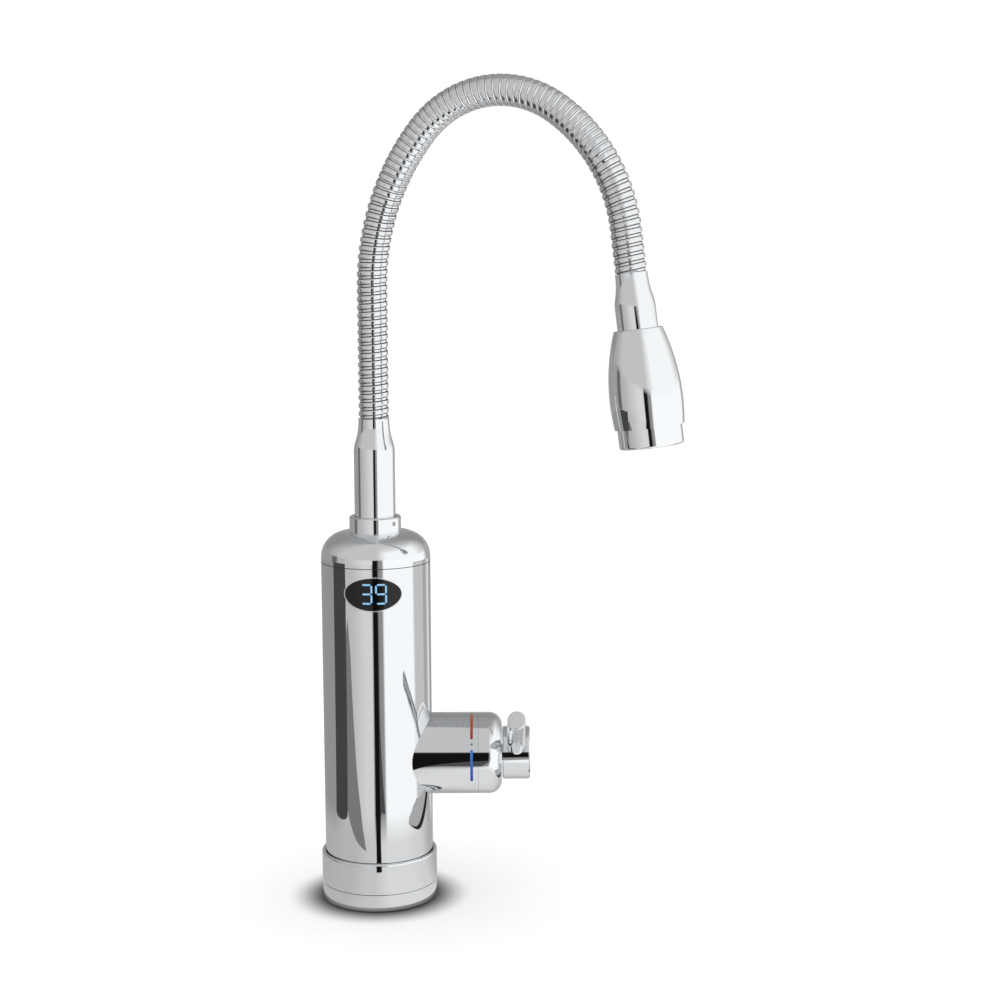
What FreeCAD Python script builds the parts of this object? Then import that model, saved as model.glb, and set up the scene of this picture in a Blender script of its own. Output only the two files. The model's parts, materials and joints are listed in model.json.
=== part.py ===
import FreeCAD, Part
import math
import os
import re

import Sketcher
from FreeCAD import Placement, Rotation, Vector

# An instant hot water tap: a heated body with a display, a side valve with a peg lever,
# and a spray head on a flexible stripwound gooseneck.
# The frame has Z up, X along the valve and the display facing minus Y. The origin is on the
# body's axis, on the surface that the tap stands on. All lengths are in millimetres.

SIZES = (
    # clearances
    ("fit_gap", 0.15, "radial clearance between pieces that are fixed to each other"),
    ("run_gap", 0.35, "clearance between pieces that move past each other"),
    ("bearing_gap", 0.05, "radial clearance of a shaft in its bearing"),
    ("seam_bevel", 0.3, "bevel that draws the line of a visible seam"),
    # base
    ("gasket_inset", 2.9, "distance of the foot gasket from the base ring's edge"),
    ("gasket_width", 4.5, "radial width of the foot gasket"),
    ("gasket_thick", 2.0, "thickness of the foot gasket"),
    ("gasket_proud", 0.3, "how far the gasket stands out below the base ring"),
    ("foot_step", 0.2, "how far the base ring stands back from the skirt"),
    ("foot_top", 9.8, "height of the seam between base ring and skirt"),
    ("foot_floor", 3.6, "thickness of the base ring's floor"),
    ("foot_wall", 2.6, "wall of the base ring"),
    ("foot_edge", 0.4, "rounding at the base ring's lower edge"),
    ("floor_gap", 2.0, "room round the inlet in the base ring's floor"),
    ("skirt_wall", 2.1, "how far the base skirt stands out from the body"),
    ("skirt_height", 17.4, "height of the base skirt"),
    ("skirt_floor", 3.2, "height of the skirt's ledge that carries the shell"),
    ("skirt_edge", 1.2, "rounding of the base skirt's rim"),
    ("skirt_gap", 0.6, "width of the groove between the skirt's rim and the body"),
    ("skirt_groove", 3.0, "depth of that groove"),
    ("screw_d", 3.0, "shank diameter of the inner screws"),
    ("screw_head_d", 5.6, "head diameter of the inner screws"),
    ("screw_head", 2.0, "head height of the inner screws"),
    ("screw_length", 11.0, "shank length of the inner screws"),
    ("screw_rim", 1.4, "wall between the base screws and the gasket's groove"),
    ("gland_d", 9.6, "diameter of the cable gland"),
    ("gland_bore", 5.6, "bore of the cable gland"),
    ("gland_rim", 0.4, "wall between the cable gland and the gasket's groove"),
    ("gland_length", 7.0, "length of the cable gland above the floor"),
    ("gland_flange", 2.3, "thickness of the cable gland's flange on the floor"),
    ("gland_lip", 0.3, "how far that flange stands out"),
    # body
    ("body_d", 60.0, "outer diameter of the body shell"),
    ("shell_wall", 1.6, "wall of the body shell"),
    ("seam_z", 190.4, "height of the seam between shell and top cap"),
    ("cap_height", 16.2, "height of the top cap above its seam"),
    ("cap_round", 13.6, "radius of the top cap's shoulder"),
    ("cap_spigot", 3.0, "depth of the top cap's spigot inside the shell"),
    ("spigot_wall", 2.0, "wall of a spigot"),
    # display
    ("lens_width", 31.0, "width of the oval display lens"),
    ("lens_height", 18.3, "height of the oval display lens"),
    ("module_width", 22.0, "width of the LED module"),
    ("module_height", 14.0, "height of the LED module"),
    ("module_thick", 3.0, "thickness of the LED module"),
    ("board_height", 18.0, "height of the display board"),
    ("board_thick", 1.6, "thickness of the display board"),
    ("board_clear", 1.7, "room between the display board and the cap's spigot"),
    # water block and inlet
    ("block_gap", 0.3, "clearance round the water block"),
    ("block_roof", 11.1, "thickness of the water block above the cartridge"),
    ("inlet_thread_d", 18.6, "core diameter of the half inch inlet thread"),
    ("inlet_outer_d", 24.0, "outer diameter of the inlet socket"),
    ("inlet_recess", 1.5, "height of the inlet's mouth above the standing surface"),
    ("inlet_length", 18.0, "length of the inlet socket inside the block"),
    ("inlet_shoulder", 3.0, "thickness of the inlet socket's end wall"),
    ("inlet_port", 9.0, "hole in the inlet socket's end wall"),
    ("filter_d", 16.0, "diameter of the inlet filter"),
    ("filter_thick", 1.5, "thickness of the inlet filter"),
    ("riser_d", 13.2, "bore in which the flow piston runs"),
    ("piston_length", 14.0, "length of the flow piston"),
    ("piston_hole", 3.0, "hole along the flow piston"),
    ("channel_d", 8.0, "bore from the valve to the heater"),
    ("port_d", 5.0, "ports between the bores and the cartridge"),
    ("port_offset", 6.5, "distance of the ports from the valve's axis"),
    ("reed_d", 3.4, "diameter of the reed switch"),
    ("reed_length", 16.0, "length of the reed switch"),
    ("reed_wall", 1.5, "wall between the reed switch and the inlet"),
    ("reed_top", 48.0, "height of the top of the reed switch's hole"),
    # heater
    ("seal_thick", 1.0, "thickness of the flange gasket"),
    ("seal_width", 5.05, "width of the flange gasket's ring"),
    ("flange_thick", 3.0, "thickness of the heater flange"),
    ("flange_rim", 2.8, "width of the heater flange beyond its screws' circle"),
    ("tank_gap", 1.2, "clearance between the tank and the display board"),
    ("tank_wall", 1.2, "wall of the heater tank"),
    ("element_d", 5.2, "diameter of the heating element's tube"),
    ("element_span", 20.0, "distance between the legs of a hairpin"),
    ("element_pitch", 12.0, "distance between the two hairpins"),
    ("element_clear", 16.0, "room between the heating element and the tank's upper edge"),
    ("lid_thick", 3.0, "thickness of the tank lid"),
    ("lid_boss", 9.0, "height of the lid's boss round the nipple"),
    ("lid_boss_d", 20.0, "diameter of the lid's boss"),
    ("lid_clear", 12.85, "room between the lid's boss and the cap"),
    ("probe_d", 3.6, "diameter of the temperature probe"),
    ("probe_depth", 12.0, "depth of the temperature probe in the tank"),
    ("probe_head_d", 5.2, "diameter of the temperature probe's head"),
    ("probe_head", 5.0, "height of the temperature probe's head"),
    ("cutout_d", 15.0, "diameter of the thermal cut-out"),
    ("cutout_thick", 5.0, "thickness of the thermal cut-out"),
    ("cutout_drop", 28.0, "distance of the thermal cut-out below the tank's upper edge"),
    # outlet and spout foot
    ("nipple_bore", 8.0, "bore of the outlet nipple"),
    ("nipple_neck_d", 16.0, "diameter of the nipple's neck through the cap"),
    ("nipple_flange", 2.4, "thickness of the nipple's flange"),
    ("nipple_d", 14.0, "diameter of the nipple inside the spout"),
    ("nipple_length", 28.0, "length of the nipple above its flange"),
    ("seal_section", 1.9, "section diameter of the O-rings"),
    ("seal_slack", 0.3, "how much wider than its O-ring a groove is"),
    ("nipple_seal_low", 10.0, "height of the lower O-ring above the nipple's flange"),
    ("nipple_seal_pitch", 10.0, "distance between the nipple's two O-rings"),
    ("collar_wall", 2.6, "wall of the spout collar round the shank"),
    ("collar_skirt", 1.4, "wall of the spout collar round the nipple's flange"),
    ("collar_height", 8.6, "height of the spout collar"),
    ("collar_edge", 0.5, "bevel of the spout collar's upper edge"),
    ("lock_z", 5.4, "height of the locking screw above the cap"),
    ("lock_d", 2.2, "diameter of the locking screw"),
    ("lock_sunk", 0.3, "how far the locking screw lies below the collar's surface"),
    ("lock_groove", 1.6, "depth of the shank's groove for the locking screw"),
    ("lock_bearing", 49.0, "angle of the locking screw from minus Y towards X"),
    ("shank_d", 22.4, "diameter of the spout shank"),
    ("shank_rise", 35.6, "length of the straight shank above the collar"),
    ("shoulder_round", 16.0, "convex radius where a ferrule's shoulder starts"),
    ("neck_taper", 17.0, "length of the shank's shoulder"),
    ("neck_lip", 1.1, "straight lip of a ferrule at the hose"),
    ("neck_d", 16.8, "diameter of a ferrule at the hose"),
    ("neck_wall", 1.35, "wall of a ferrule round the end of the hose"),
    # gooseneck
    ("hose_d", 16.5, "diameter over the hose's ribs"),
    ("hose_bore", 11.2, "bore of the hose"),
    ("hose_socket", 11.5, "depth of the hose's plain ends in the ferrules"),
    ("rib_pitch", 4.6, "distance from rib to rib"),
    ("rib_band", 2.7, "width of a rib's flat band"),
    ("rib_flank", 0.35, "length of a rib's flank along the hose"),
    ("groove_depth", 0.8, "depth of the grooves between the ribs"),
    ("flex_ribs", 6.0, "ribs in each stretch of hose that flexes"),
    ("rise", 71.0, "straight run of the gooseneck from the shank"),
    ("entry_radius", 127.0, "radius of the gooseneck's first bend"),
    ("entry_turn", 40.5, "turn of the first bend, in degrees"),
    ("crown_radius", 56.2, "radius of the gooseneck's crown"),
    ("crown_turn", 83.8, "turn of the crown, in degrees"),
    ("exit_radius", 89.0, "radius of the bend after the crown"),
    ("exit_turn", 48.2, "turn of the bend after the crown, in degrees"),
    ("tail", 22.5, "straight run of the gooseneck into the spray head"),
    ("spout_bearing", 21.0, "angle of the gooseneck's plane from X towards minus Y"),
    ("sway_at", 46.0, "distance along the hose to the middle of its first flexing stretch"),
    ("lean_at", 120.0, "distance along the hose to the middle of its second flexing stretch"),
    ("arch_at", 198.0, "distance along the hose to the middle of its third flexing stretch"),
    ("aim_at", 276.0, "distance along the hose to the middle of its fourth flexing stretch"),
    ("tube_d", 9.0, "diameter of the inner water tube"),
    ("tube_bore", 6.0, "bore of the inner water tube"),
    ("tube_foot", 28.0, "length of the inner tube below the hose"),
    ("tube_head", 21.0, "length of the inner tube in the spray head"),
    # spray head, measured along its axis from the end of the hose
    ("head_neck_d", 21.0, "diameter of the head's ferrule"),
    ("head_neck_length", 28.7, "length of the head's ferrule above the bell"),
    ("head_taper", 16.0, "length of the head ferrule's shoulder"),
    ("head_bore", 8.0, "bore of the head's ferrule"),
    ("head_thread_d", 17.0, "diameter of the head ferrule's thread"),
    ("head_thread", 7.3, "length of the head ferrule's thread"),
    ("bell_lip", 2.35, "how far the bell's shoulder stands out from its ferrule"),
    ("bell_edge", 0.8, "rounding of the bell's shoulder"),
    ("bell_rim_d", 36.2, "diameter of the bell's rim"),
    ("bell_length", 50.6, "length of the bell"),
    ("bell_bow", 110.0, "radius of the bell's bowed side"),
    ("bell_grip", 6.0, "length of the bell's top that holds the ferrule"),
    ("core_gap", 0.75, "how far the head core stands back from the bell's shoulder"),
    ("core_chamber_d", 18.0, "diameter of the head core's water chamber"),
    ("core_floor", 7.0, "thickness of the head core's lower wall"),
    ("core_web", 3.0, "thickness of the head core's wall under the washer"),
    ("core_port_d", 3.0, "diameter of the head core's ports"),
    ("core_port_ring_d", 14.4, "pitch circle of the head core's ports"),
    ("washer_thick", 2.0, "thickness of the head washer"),
    ("stem_d", 10.0, "diameter of the stem that the face ring turns on"),
    ("stem_length", 11.0, "length of that stem"),
    ("clip_d", 14.0, "diameter of the clip on the stem"),
    ("clip_thick", 1.0, "thickness of the clip on the stem"),
    ("clip_depth", 0.8, "depth of the clip's groove in the stem"),
    ("rim_wall", 0.95, "wall of the bell's rim round the face ring"),
    ("ring_depth", 8.5, "depth of the face ring inside the bell"),
    ("ring_reach", 10.3, "length of the face ring below the bell"),
    ("ring_plate", 2.5, "thickness of the face ring's upper plate"),
    ("ring_wall", 2.0, "wall of the face ring"),
    ("ring_edge", 1.2, "rounding of the face ring's lower edge"),
    ("ring_ledge", 1.3, "ledge that the nozzle plate seats on"),
    ("plate_recess", 1.2, "how far the nozzle plate lies inside the face ring"),
    ("plate_thick", 2.4, "thickness of the nozzle plate"),
    ("aerator_d", 9.0, "diameter of the aerator"),
    ("aerator_length", 5.0, "length of the aerator"),
    ("nozzle_d", 1.8, "diameter of a nozzle tip"),
    ("nozzle_proud", 0.8, "how far a nozzle tip stands out of its plate"),
    ("inner_nozzle_ring_d", 14.4, "pitch circle of the inner nozzles"),
    ("outer_nozzle_ring_d", 22.6, "pitch circle of the outer nozzles"),
    # valve, measured along X from the body's axis
    ("valve_z", 81.4, "height of the valve's axis"),
    ("barrel_d", 45.0, "diameter of the valve barrel and its bonnet"),
    ("barrel_wall", 2.2, "wall of the valve barrel"),
    ("barrel_reach", 25.8, "length of the barrel beyond the body"),
    ("bonnet_length", 13.1, "length of the bonnet beyond the barrel"),
    ("bonnet_round", 7.2, "rounding of the bonnet"),
    ("bonnet_spigot", 5.0, "depth of the bonnet's spigot in the barrel"),
    ("bonnet_hole_d", 13.0, "hole in the bonnet for the spindle"),
    ("socket_floor", 6.0, "floor of the cartridge's socket in the block"),
    ("cartridge_d", 31.0, "diameter of the valve cartridge"),
    ("cartridge_nose", 10.0, "length of the cartridge beyond its flange"),
    ("cartridge_wall", 3.5, "wall round the cartridge's ceramic discs"),
    ("cartridge_flange", 3.0, "thickness of the cartridge's flange"),
    ("flange_clear", 2.9, "room between the cartridge's flange and the water block"),
    ("cup_seal", 3.0, "thickness of the cartridge seal"),
    ("cup_seal_d", 17.0, "inner diameter of the cartridge seal"),
    ("disc_thick", 4.0, "thickness of a ceramic disc"),
    ("disc_port_d", 5.0, "port in a ceramic disc"),
    ("carrier_thick", 4.0, "thickness of the spindle's disc carrier"),
    ("spindle_d", 9.0, "diameter of the valve spindle"),
    ("spindle_seal_inset", 6.0, "distance of the spindle's O-ring from the cartridge's end"),
    ("nut_length", 7.0, "length of the gland nut"),
    ("nut_wall", 4.5, "wall of the gland nut round the cartridge's nose"),
    ("hub_gap", 0.3, "gap between bonnet and lever hub"),
    ("hub_d", 29.2, "diameter of the lever hub"),
    ("hub_length", 15.25, "length of the lever hub"),
    ("hub_edge", 0.7, "bevel of the lever hub"),
    ("hub_end_wall", 4.0, "wall of the lever hub beyond the spindle"),
    ("lever_d", 10.0, "diameter of the lever peg"),
    ("lever_reach", 67.0, "distance of the lever's end from the valve's axis"),
    ("lever_seat", 10.5, "distance of the lever's seat from the valve's axis"),
    ("lever_tail_d", 6.0, "diameter of the lever's threaded tail"),
    ("lever_edge", 0.6, "rounding of the lever's end"),
    ("lever_angle", 29.8, "angle of the lever above the level, in degrees"),
)

# heights, distances and radii that several pieces share
SKIRT_R = "(body_d / 2 + skirt_wall)"
SKIRT_TOP = "(foot_top + skirt_height)"
FOOT_R = f"({SKIRT_R} - foot_step)"
FLOOR_TOP = "(gasket_proud + foot_floor)"
GASKET_OUT = f"({FOOT_R} - gasket_inset)"
GASKET_IN = f"({GASKET_OUT} - gasket_width)"
SCREW_RING_D = f"(2 * ({GASKET_IN} - fit_gap - screw_rim) - screw_head_d)"
SCREW_SEAT = "(gasket_proud + screw_head)"
GLAND_Y = f"({GASKET_IN} - fit_gap - gland_rim - gland_d / 2)"
SHELL_BOTTOM = "(foot_top + skirt_floor)"
SHELL_IN = "(body_d / 2 - shell_wall)"
CAP_WALL = "(shell_wall + fit_gap + spigot_wall)"
CAP_TOP = "(seam_z + cap_height)"
CAP_CEILING = f"({CAP_TOP} - {CAP_WALL})"
COLLAR_R = "(shank_d / 2 + run_gap + collar_wall)"
COLLAR_TOP = f"({CAP_TOP} + collar_height)"
BOARD_MIDDLE = "(seam_z - cap_spigot - board_clear - board_height / 2)"
BLOCK_R = f"({SHELL_IN} - block_gap)"
BLOCK_TOP = "(valve_z + cartridge_d / 2 + block_roof)"
MODULE_FRONT = f"sqrt({BLOCK_R} ^ 2 - (module_width / 2) ^ 2)"
BOARD_FRONT = f"({MODULE_FRONT} - module_thick)"
TANK_R = f"({BOARD_FRONT} - board_thick - tank_gap)"
TANK_TOP = f"({CAP_CEILING} - lid_clear - lid_boss - lid_thick)"
INLET_TOP = f"({FLOOR_TOP} + inlet_length)"
FILTER_TOP = f"({INLET_TOP} - inlet_shoulder)"
FILTER_FOOT = f"({FILTER_TOP} - filter_thick)"
REED_X = "(inlet_outer_d / 2 + fit_gap + reed_wall + reed_d / 2)"
FLANGE_BOTTOM = f"({BLOCK_TOP} + seal_thick)"
FLANGE_TOP = f"({FLANGE_BOTTOM} + flange_thick)"
FLANGE_RING_D = f"(2 * ({TANK_R} + run_gap) + screw_head_d)"
ELEMENT_TOP = f"({TANK_TOP} - element_clear)"
LID_TOP = f"({TANK_TOP} + lid_thick)"
PROBE_X = "(lid_boss_d / 2 + fit_gap + probe_head_d / 2)"
NIPPLE_FLANGE_R = f"({COLLAR_R} - collar_skirt - fit_gap)"
NIPPLE_SEAT = f"({CAP_TOP} + nipple_flange)"
NIPPLE_TOP = f"({NIPPLE_SEAT} + nipple_length)"
SEAL_BORE = "(nipple_d / 2 + bearing_gap)"
SEAL_FLOOR = "(nipple_d / 2 - seal_section)"
LOCK_Z = f"({CAP_TOP} + lock_z)"
SHOULDER_Z = f"({COLLAR_TOP} + shank_rise)"
HOSE_Z = f"({SHOULDER_Z} + neck_taper + neck_lip)"
HOSE_SOCKET_R = "(neck_d / 2 - neck_wall)"
HOSE_CORE_R = f"({HOSE_SOCKET_R} - fit_gap)"
TUBE_SOCKET_R = "(tube_d / 2 + fit_gap)"
BELL_TOP_R = "(head_neck_d / 2 + bell_lip)"
BELL_END = "(head_neck_length + bell_length)"
CORE_R = f"({BELL_TOP_R} - core_gap)"
RING_R = "(bell_rim_d / 2 - rim_wall - run_gap)"
CORE_TOP = "(head_neck_length + bell_grip)"
NECK_END = f"({CORE_TOP} + head_thread)"
CORE_SEAT = f"({NECK_END} + washer_thick)"
FACE_TOP = f"({BELL_END} - ring_depth)"
FACE_END = f"({BELL_END} + ring_reach)"
CORE_END = f"({FACE_TOP} - run_gap)"
STEM_END = f"({CORE_END} + stem_length)"
CLIP_TOP = f"({FACE_TOP} + ring_plate + run_gap)"
PLATE_END = f"({FACE_END} - plate_recess)"
PLATE_TOP = f"({PLATE_END} - plate_thick)"
BARREL_BORE = "(barrel_d / 2 - barrel_wall)"
BONNET_WALL = "(barrel_wall + fit_gap + spigot_wall)"
BARREL_END = "(body_d / 2 + barrel_reach)"
BONNET_END = f"({BARREL_END} + bonnet_length)"
HUB_START = f"({BONNET_END} + hub_gap)"
HUB_END = f"({HUB_START} + hub_length)"
SPINDLE_END = f"({HUB_END} - hub_end_wall)"
CAVITY_R = "(cartridge_d / 2 - cartridge_wall)"
DISC_START = "(socket_floor + cup_seal)"
DISC_MEET = f"({DISC_START} + disc_thick)"
CARRIER_START = f"({DISC_MEET} + bearing_gap + disc_thick)"
CARRIER_END = f"({CARRIER_START} + carrier_thick)"
SPINDLE_BORE = "(spindle_d / 2 + bearing_gap)"
NOSE_R = f"({BARREL_BORE} - nut_wall - 2 * fit_gap)"
FLANGE_X = f"({BLOCK_R} + flange_clear)"
NUT_START = f"({FLANGE_X} + cartridge_flange)"
CARTRIDGE_END = f"({NUT_START} + cartridge_nose)"
SPINDLE_SEAL_X = f"({CARTRIDGE_END} - spindle_seal_inset)"
LEVER_TIP = "(spindle_d / 2 + run_gap)"

ALONG_X = Rotation(Vector(0, 1, 0), 90)
TO_FRONT = Rotation(Vector(1, 0, 0), 90)
TO_BACK = Rotation(Vector(1, 0, 0), -90)
UPSIDE_DOWN = Rotation(Vector(1, 0, 0), 180)
BASE_SCREWS = 3
BASE_SCREW_FIRST = 30
FLANGE_SCREWS = 4
FLANGE_SCREW_FIRST = 45
CORE_PORTS = 4
LEAST_VOLUME = 1e-6
INNER_NOZZLES = 6
OUTER_NOZZLES = 12
NOZZLE_RINGS = (("inner_nozzle_ring_d", INNER_NOZZLES), ("outer_nozzle_ring_d", OUTER_NOZZLES))

doc = FreeCAD.newDocument("InstantHotWaterTap")
sheet = doc.addObject("Spreadsheet::Sheet", "Sizes")
for row, (alias, number, meaning) in enumerate(SIZES, start=1):
    sheet.set(f"A{row}", meaning)
    sheet.set(f"B{row}", str(number))
    sheet.setAlias(f"B{row}", alias)
doc.recompute()
ALIASES = {alias for alias, number, meaning in SIZES}


def bound(expression):
    """An expression of size names, with the sheet's name put before each of them."""
    return re.sub(
        r"[a-z][a-z_]*",
        lambda word: f"Sizes.{word.group()}" if word.group() in ALIASES else word.group(),
        expression,
    )


def size(expression):
    """The number that an expression of size names gives."""
    number = sheet.evalExpression(expression)
    return float(getattr(number, "Value", number))


def place(piece, x="0", y="0", z="0", rotation=None):
    """Puts a piece at a point that is bound to the sheet."""
    piece.Placement = Placement(Vector(), rotation or Rotation())
    for axis, expression in zip("xyz", (x, y, z)):
        if expression != "0":
            piece.setExpression(f"Placement.Base.{axis}", bound(expression))
    return piece


def origin_plane(body, role):
    """One of a body's own planes or axes."""
    return next(feature for feature in body.Origin.OriginFeatures if feature.Role == role)


def new_sketch(body, role):
    """An empty sketch on one of a body's own planes."""
    sketch = body.newObject("Sketcher::SketchObject", "Outline")
    sketch.AttachmentSupport = [(origin_plane(body, role), "")]
    sketch.MapMode = "FlatFace"
    return sketch


def bind(sketch, constraint, expression):
    """Adds a dimension to a sketch and ties it to the sheet."""
    number = sketch.addConstraint(constraint)
    sketch.setExpression(f"Constraints[{number}]", bound(expression))


def arc_between(start, end, radius, turn):
    """The smaller arc from start to end that turns left or right, drawn anticlockwise."""
    if turn == "right":
        start, end = end, start
    chord = end - start
    middle = (start + end) / 2
    height = math.sqrt(max(radius**2 - chord.Length**2 / 4, 0))
    centre = middle + Vector(-chord.y, chord.x, 0) / chord.Length * height
    first, last = (math.atan2(p.y - centre.y, p.x - centre.x) for p in (start, end))
    return Part.ArcOfCircle(Part.Circle(centre, Vector(0, 0, 1), radius), first, last)


def draw(sketch, outline, closed=True):
    """Draws an outline of (x, y) corners. A corner with a radius and a turn, left or right,
    is reached by an arc, and any other by a line. Every corner and radius is bound."""
    points = [Vector(size(corner[0]), size(corner[1]), 0) for corner in outline]
    ends = []
    edges = len(outline) if closed else len(outline) - 1
    for edge in range(edges):
        start, end = points[edge], points[(edge + 1) % len(points)]
        curve = outline[(edge + 1) % len(outline)][2:]
        if curve:
            sketch.addGeometry(arc_between(start, end, size(curve[0]), curve[1]), False)
            ends.append((2, 1) if curve[1] == "right" else (1, 2))
        else:
            sketch.addGeometry(Part.LineSegment(start, end), False)
            ends.append((1, 2))
    for edge in range(edges if closed else edges - 1):
        following = (edge + 1) % edges
        sketch.addConstraint(
            Sketcher.Constraint("Coincident", edge, ends[edge][1], following, ends[following][0])
        )
    for corner, point in enumerate(points):
        edge, end = (corner, 0) if corner < edges else (corner - 1, 1)
        for kind, value, expression in (
            ("DistanceX", point.x, outline[corner][0]),
            ("DistanceY", point.y, outline[corner][1]),
        ):
            bind(sketch, Sketcher.Constraint(kind, -1, 1, edge, ends[edge][end], value), expression)
    for edge in range(edges):
        curve = outline[(edge + 1) % len(outline)][2:]
        if curve:
            bind(sketch, Sketcher.Constraint("Radius", edge, size(curve[0])), curve[0])


def turned(label, outline):
    """A piece turned about its own Z axis from an outline of (radius, height) corners."""
    body = doc.addObject("PartDesign::Body", label)
    body.Label = label
    sketch = new_sketch(body, "XZ_Plane")
    draw(sketch, outline)
    turn = body.newObject("PartDesign::Revolution", "Turn")
    turn.Profile = sketch
    turn.ReferenceAxis = (sketch, ["V_Axis"])
    turn.Angle = 360
    return body


def washer(label, inner_d, outer_d, bottom, top):
    """A flat ring."""
    inner, outer = f"({inner_d}) / 2", f"({outer_d}) / 2"
    return turned(label, [(inner, bottom), (outer, bottom), (outer, top), (inner, top)])


def drill(body, diameter, x, y, start, depth, count=1):
    """Drills a body upwards from a height, once or at even steps round its axis."""
    sketch = new_sketch(body, "XY_Plane")
    sketch.setExpression("AttachmentOffset.Base.z", bound(start))
    centre, radius = Vector(size(x), size(y), 0), size(diameter) / 2
    sketch.addGeometry(Part.Circle(centre, Vector(0, 0, 1), radius), False)
    bind(sketch, Sketcher.Constraint("DistanceX", -1, 1, 0, 3, centre.x), x)
    bind(sketch, Sketcher.Constraint("DistanceY", -1, 1, 0, 3, centre.y), y)
    bind(sketch, Sketcher.Constraint("Diameter", 0, 2 * radius), diameter)
    hole = body.newObject("PartDesign::Pocket", "Bore")
    hole.Profile = sketch
    hole.Reversed = True
    hole.setExpression("Length", bound(depth))
    if count > 1:
        pattern = body.newObject("PartDesign::PolarPattern", "Bores")
        pattern.Originals = [hole]
        pattern.Axis = (origin_plane(body, "Z_Axis"), [""])
        pattern.Angle = 360
        pattern.Occurrences = count
        body.Tip = pattern
    return body


def cylinder(label, diameter, length, x="0", y="0", z="0", rotation=None):
    """A plain cylinder along its own Z axis."""
    piece = doc.addObject("Part::Cylinder", label)
    piece.Label = label
    piece.setExpression("Radius", bound(f"({diameter}) / 2"))
    piece.setExpression("Height", bound(length))
    return place(piece, x, y, z, rotation)


def box(label, width, depth, height, x, y, z):
    """A plain box from its lowest corner."""
    piece = doc.addObject("Part::Box", label)
    piece.Label = label
    for side, expression in (("Length", width), ("Width", depth), ("Height", height)):
        piece.setExpression(side, bound(expression))
    return place(piece, x, y, z)


def seal_ring(label, x, z, floor, rotation=None):
    """An O-ring that lies on the floor of its groove."""
    piece = doc.addObject("Part::Torus", label)
    piece.Label = label
    piece.setExpression("Radius1", bound(f"{floor} + seal_section / 2"))
    piece.setExpression("Radius2", bound("seal_section / 2"))
    return place(piece, x, "0", z, rotation)


def fuse(label, *pieces):
    """Pieces joined into one solid."""
    piece = doc.addObject("Part::MultiFuse", label)
    piece.Label = label
    piece.Shapes = pieces
    return piece


def cut(label, base, *tools):
    """A piece less one or more tools."""
    piece = doc.addObject("Part::Cut", label)
    piece.Label = label
    piece.Base = base
    piece.Tool = tools[0] if len(tools) == 1 else fuse(f"{label}_tools", *tools)
    return piece


def group(label, pieces):
    """Like pieces that stay separate solids."""
    piece = doc.addObject("Part::Compound", label)
    piece.Label = label
    piece.Links = pieces
    return piece


def round_z(ring_d, angle):
    """The x and y of a point on a pitch circle."""
    return f"{ring_d} / 2 * cos({angle})", f"{ring_d} / 2 * sin({angle})"


def foot_gasket():
    return washer("foot_gasket", f"2 * {GASKET_IN}", f"2 * {GASKET_OUT}", "0", "gasket_thick")


def base_ring():
    groove_in, groove_out = f"{GASKET_IN} - fit_gap", f"{GASKET_OUT} + fit_gap"
    hole, wall_in = "inlet_outer_d / 2 + floor_gap", f"{FOOT_R} - foot_wall"
    body = turned(
        "base_ring",
        [
            (hole, "gasket_proud"),
            (groove_in, "gasket_proud"),
            (groove_in, "gasket_thick"),
            (groove_out, "gasket_thick"),
            (groove_out, "gasket_proud"),
            (f"{FOOT_R} - foot_edge", "gasket_proud"),
            (FOOT_R, "gasket_proud + foot_edge", "foot_edge", "left"),
            (FOOT_R, "foot_top - seam_bevel"),
            (f"{FOOT_R} - seam_bevel", "foot_top"),
            (wall_in, "foot_top"),
            (wall_in, FLOOR_TOP),
            (hole, FLOOR_TOP),
        ],
    )
    x, y = round_z(SCREW_RING_D, BASE_SCREW_FIRST)
    drill(body, "screw_d + 2 * fit_gap", x, y, "0", FLOOR_TOP, BASE_SCREWS)
    drill(body, "screw_head_d + 2 * fit_gap", x, y, "0", SCREW_SEAT, BASE_SCREWS)
    return drill(body, "gland_d + 2 * fit_gap", "0", GLAND_Y, "0", FLOOR_TOP)


def base_skirt():
    groove, grip = "body_d / 2 + skirt_gap", "body_d / 2 + fit_gap"
    return turned(
        "base_skirt",
        [
            (SHELL_IN, "foot_top"),
            (f"{SKIRT_R} - seam_bevel", "foot_top"),
            (SKIRT_R, "foot_top + seam_bevel"),
            (SKIRT_R, f"{SKIRT_TOP} - skirt_edge"),
            (f"{SKIRT_R} - skirt_edge", SKIRT_TOP, "skirt_edge", "left"),
            (groove, SKIRT_TOP),
            (groove, f"{SKIRT_TOP} - skirt_groove"),
            (grip, f"{SKIRT_TOP} - skirt_groove"),
            (grip, SHELL_BOTTOM),
            (SHELL_IN, SHELL_BOTTOM),
        ],
    )


def screws(label, count, ring_d, first, seat, rotation=None):
    """A ring of screws, each with the underside of its head at the seat."""
    head, shank = "screw_head_d / 2", "screw_d / 2"
    pieces = []
    for step in range(count):
        screw = turned(
            f"{label}_one",
            [
                ("0", "-screw_head"),
                (head, "-screw_head"),
                (head, "0"),
                (shank, "0"),
                (shank, "screw_length"),
                ("0", "screw_length"),
            ],
        )
        x, y = round_z(ring_d, first + step * 360 / count)
        pieces.append(place(screw, x, y, seat, rotation))
    return group(label, pieces)


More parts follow.
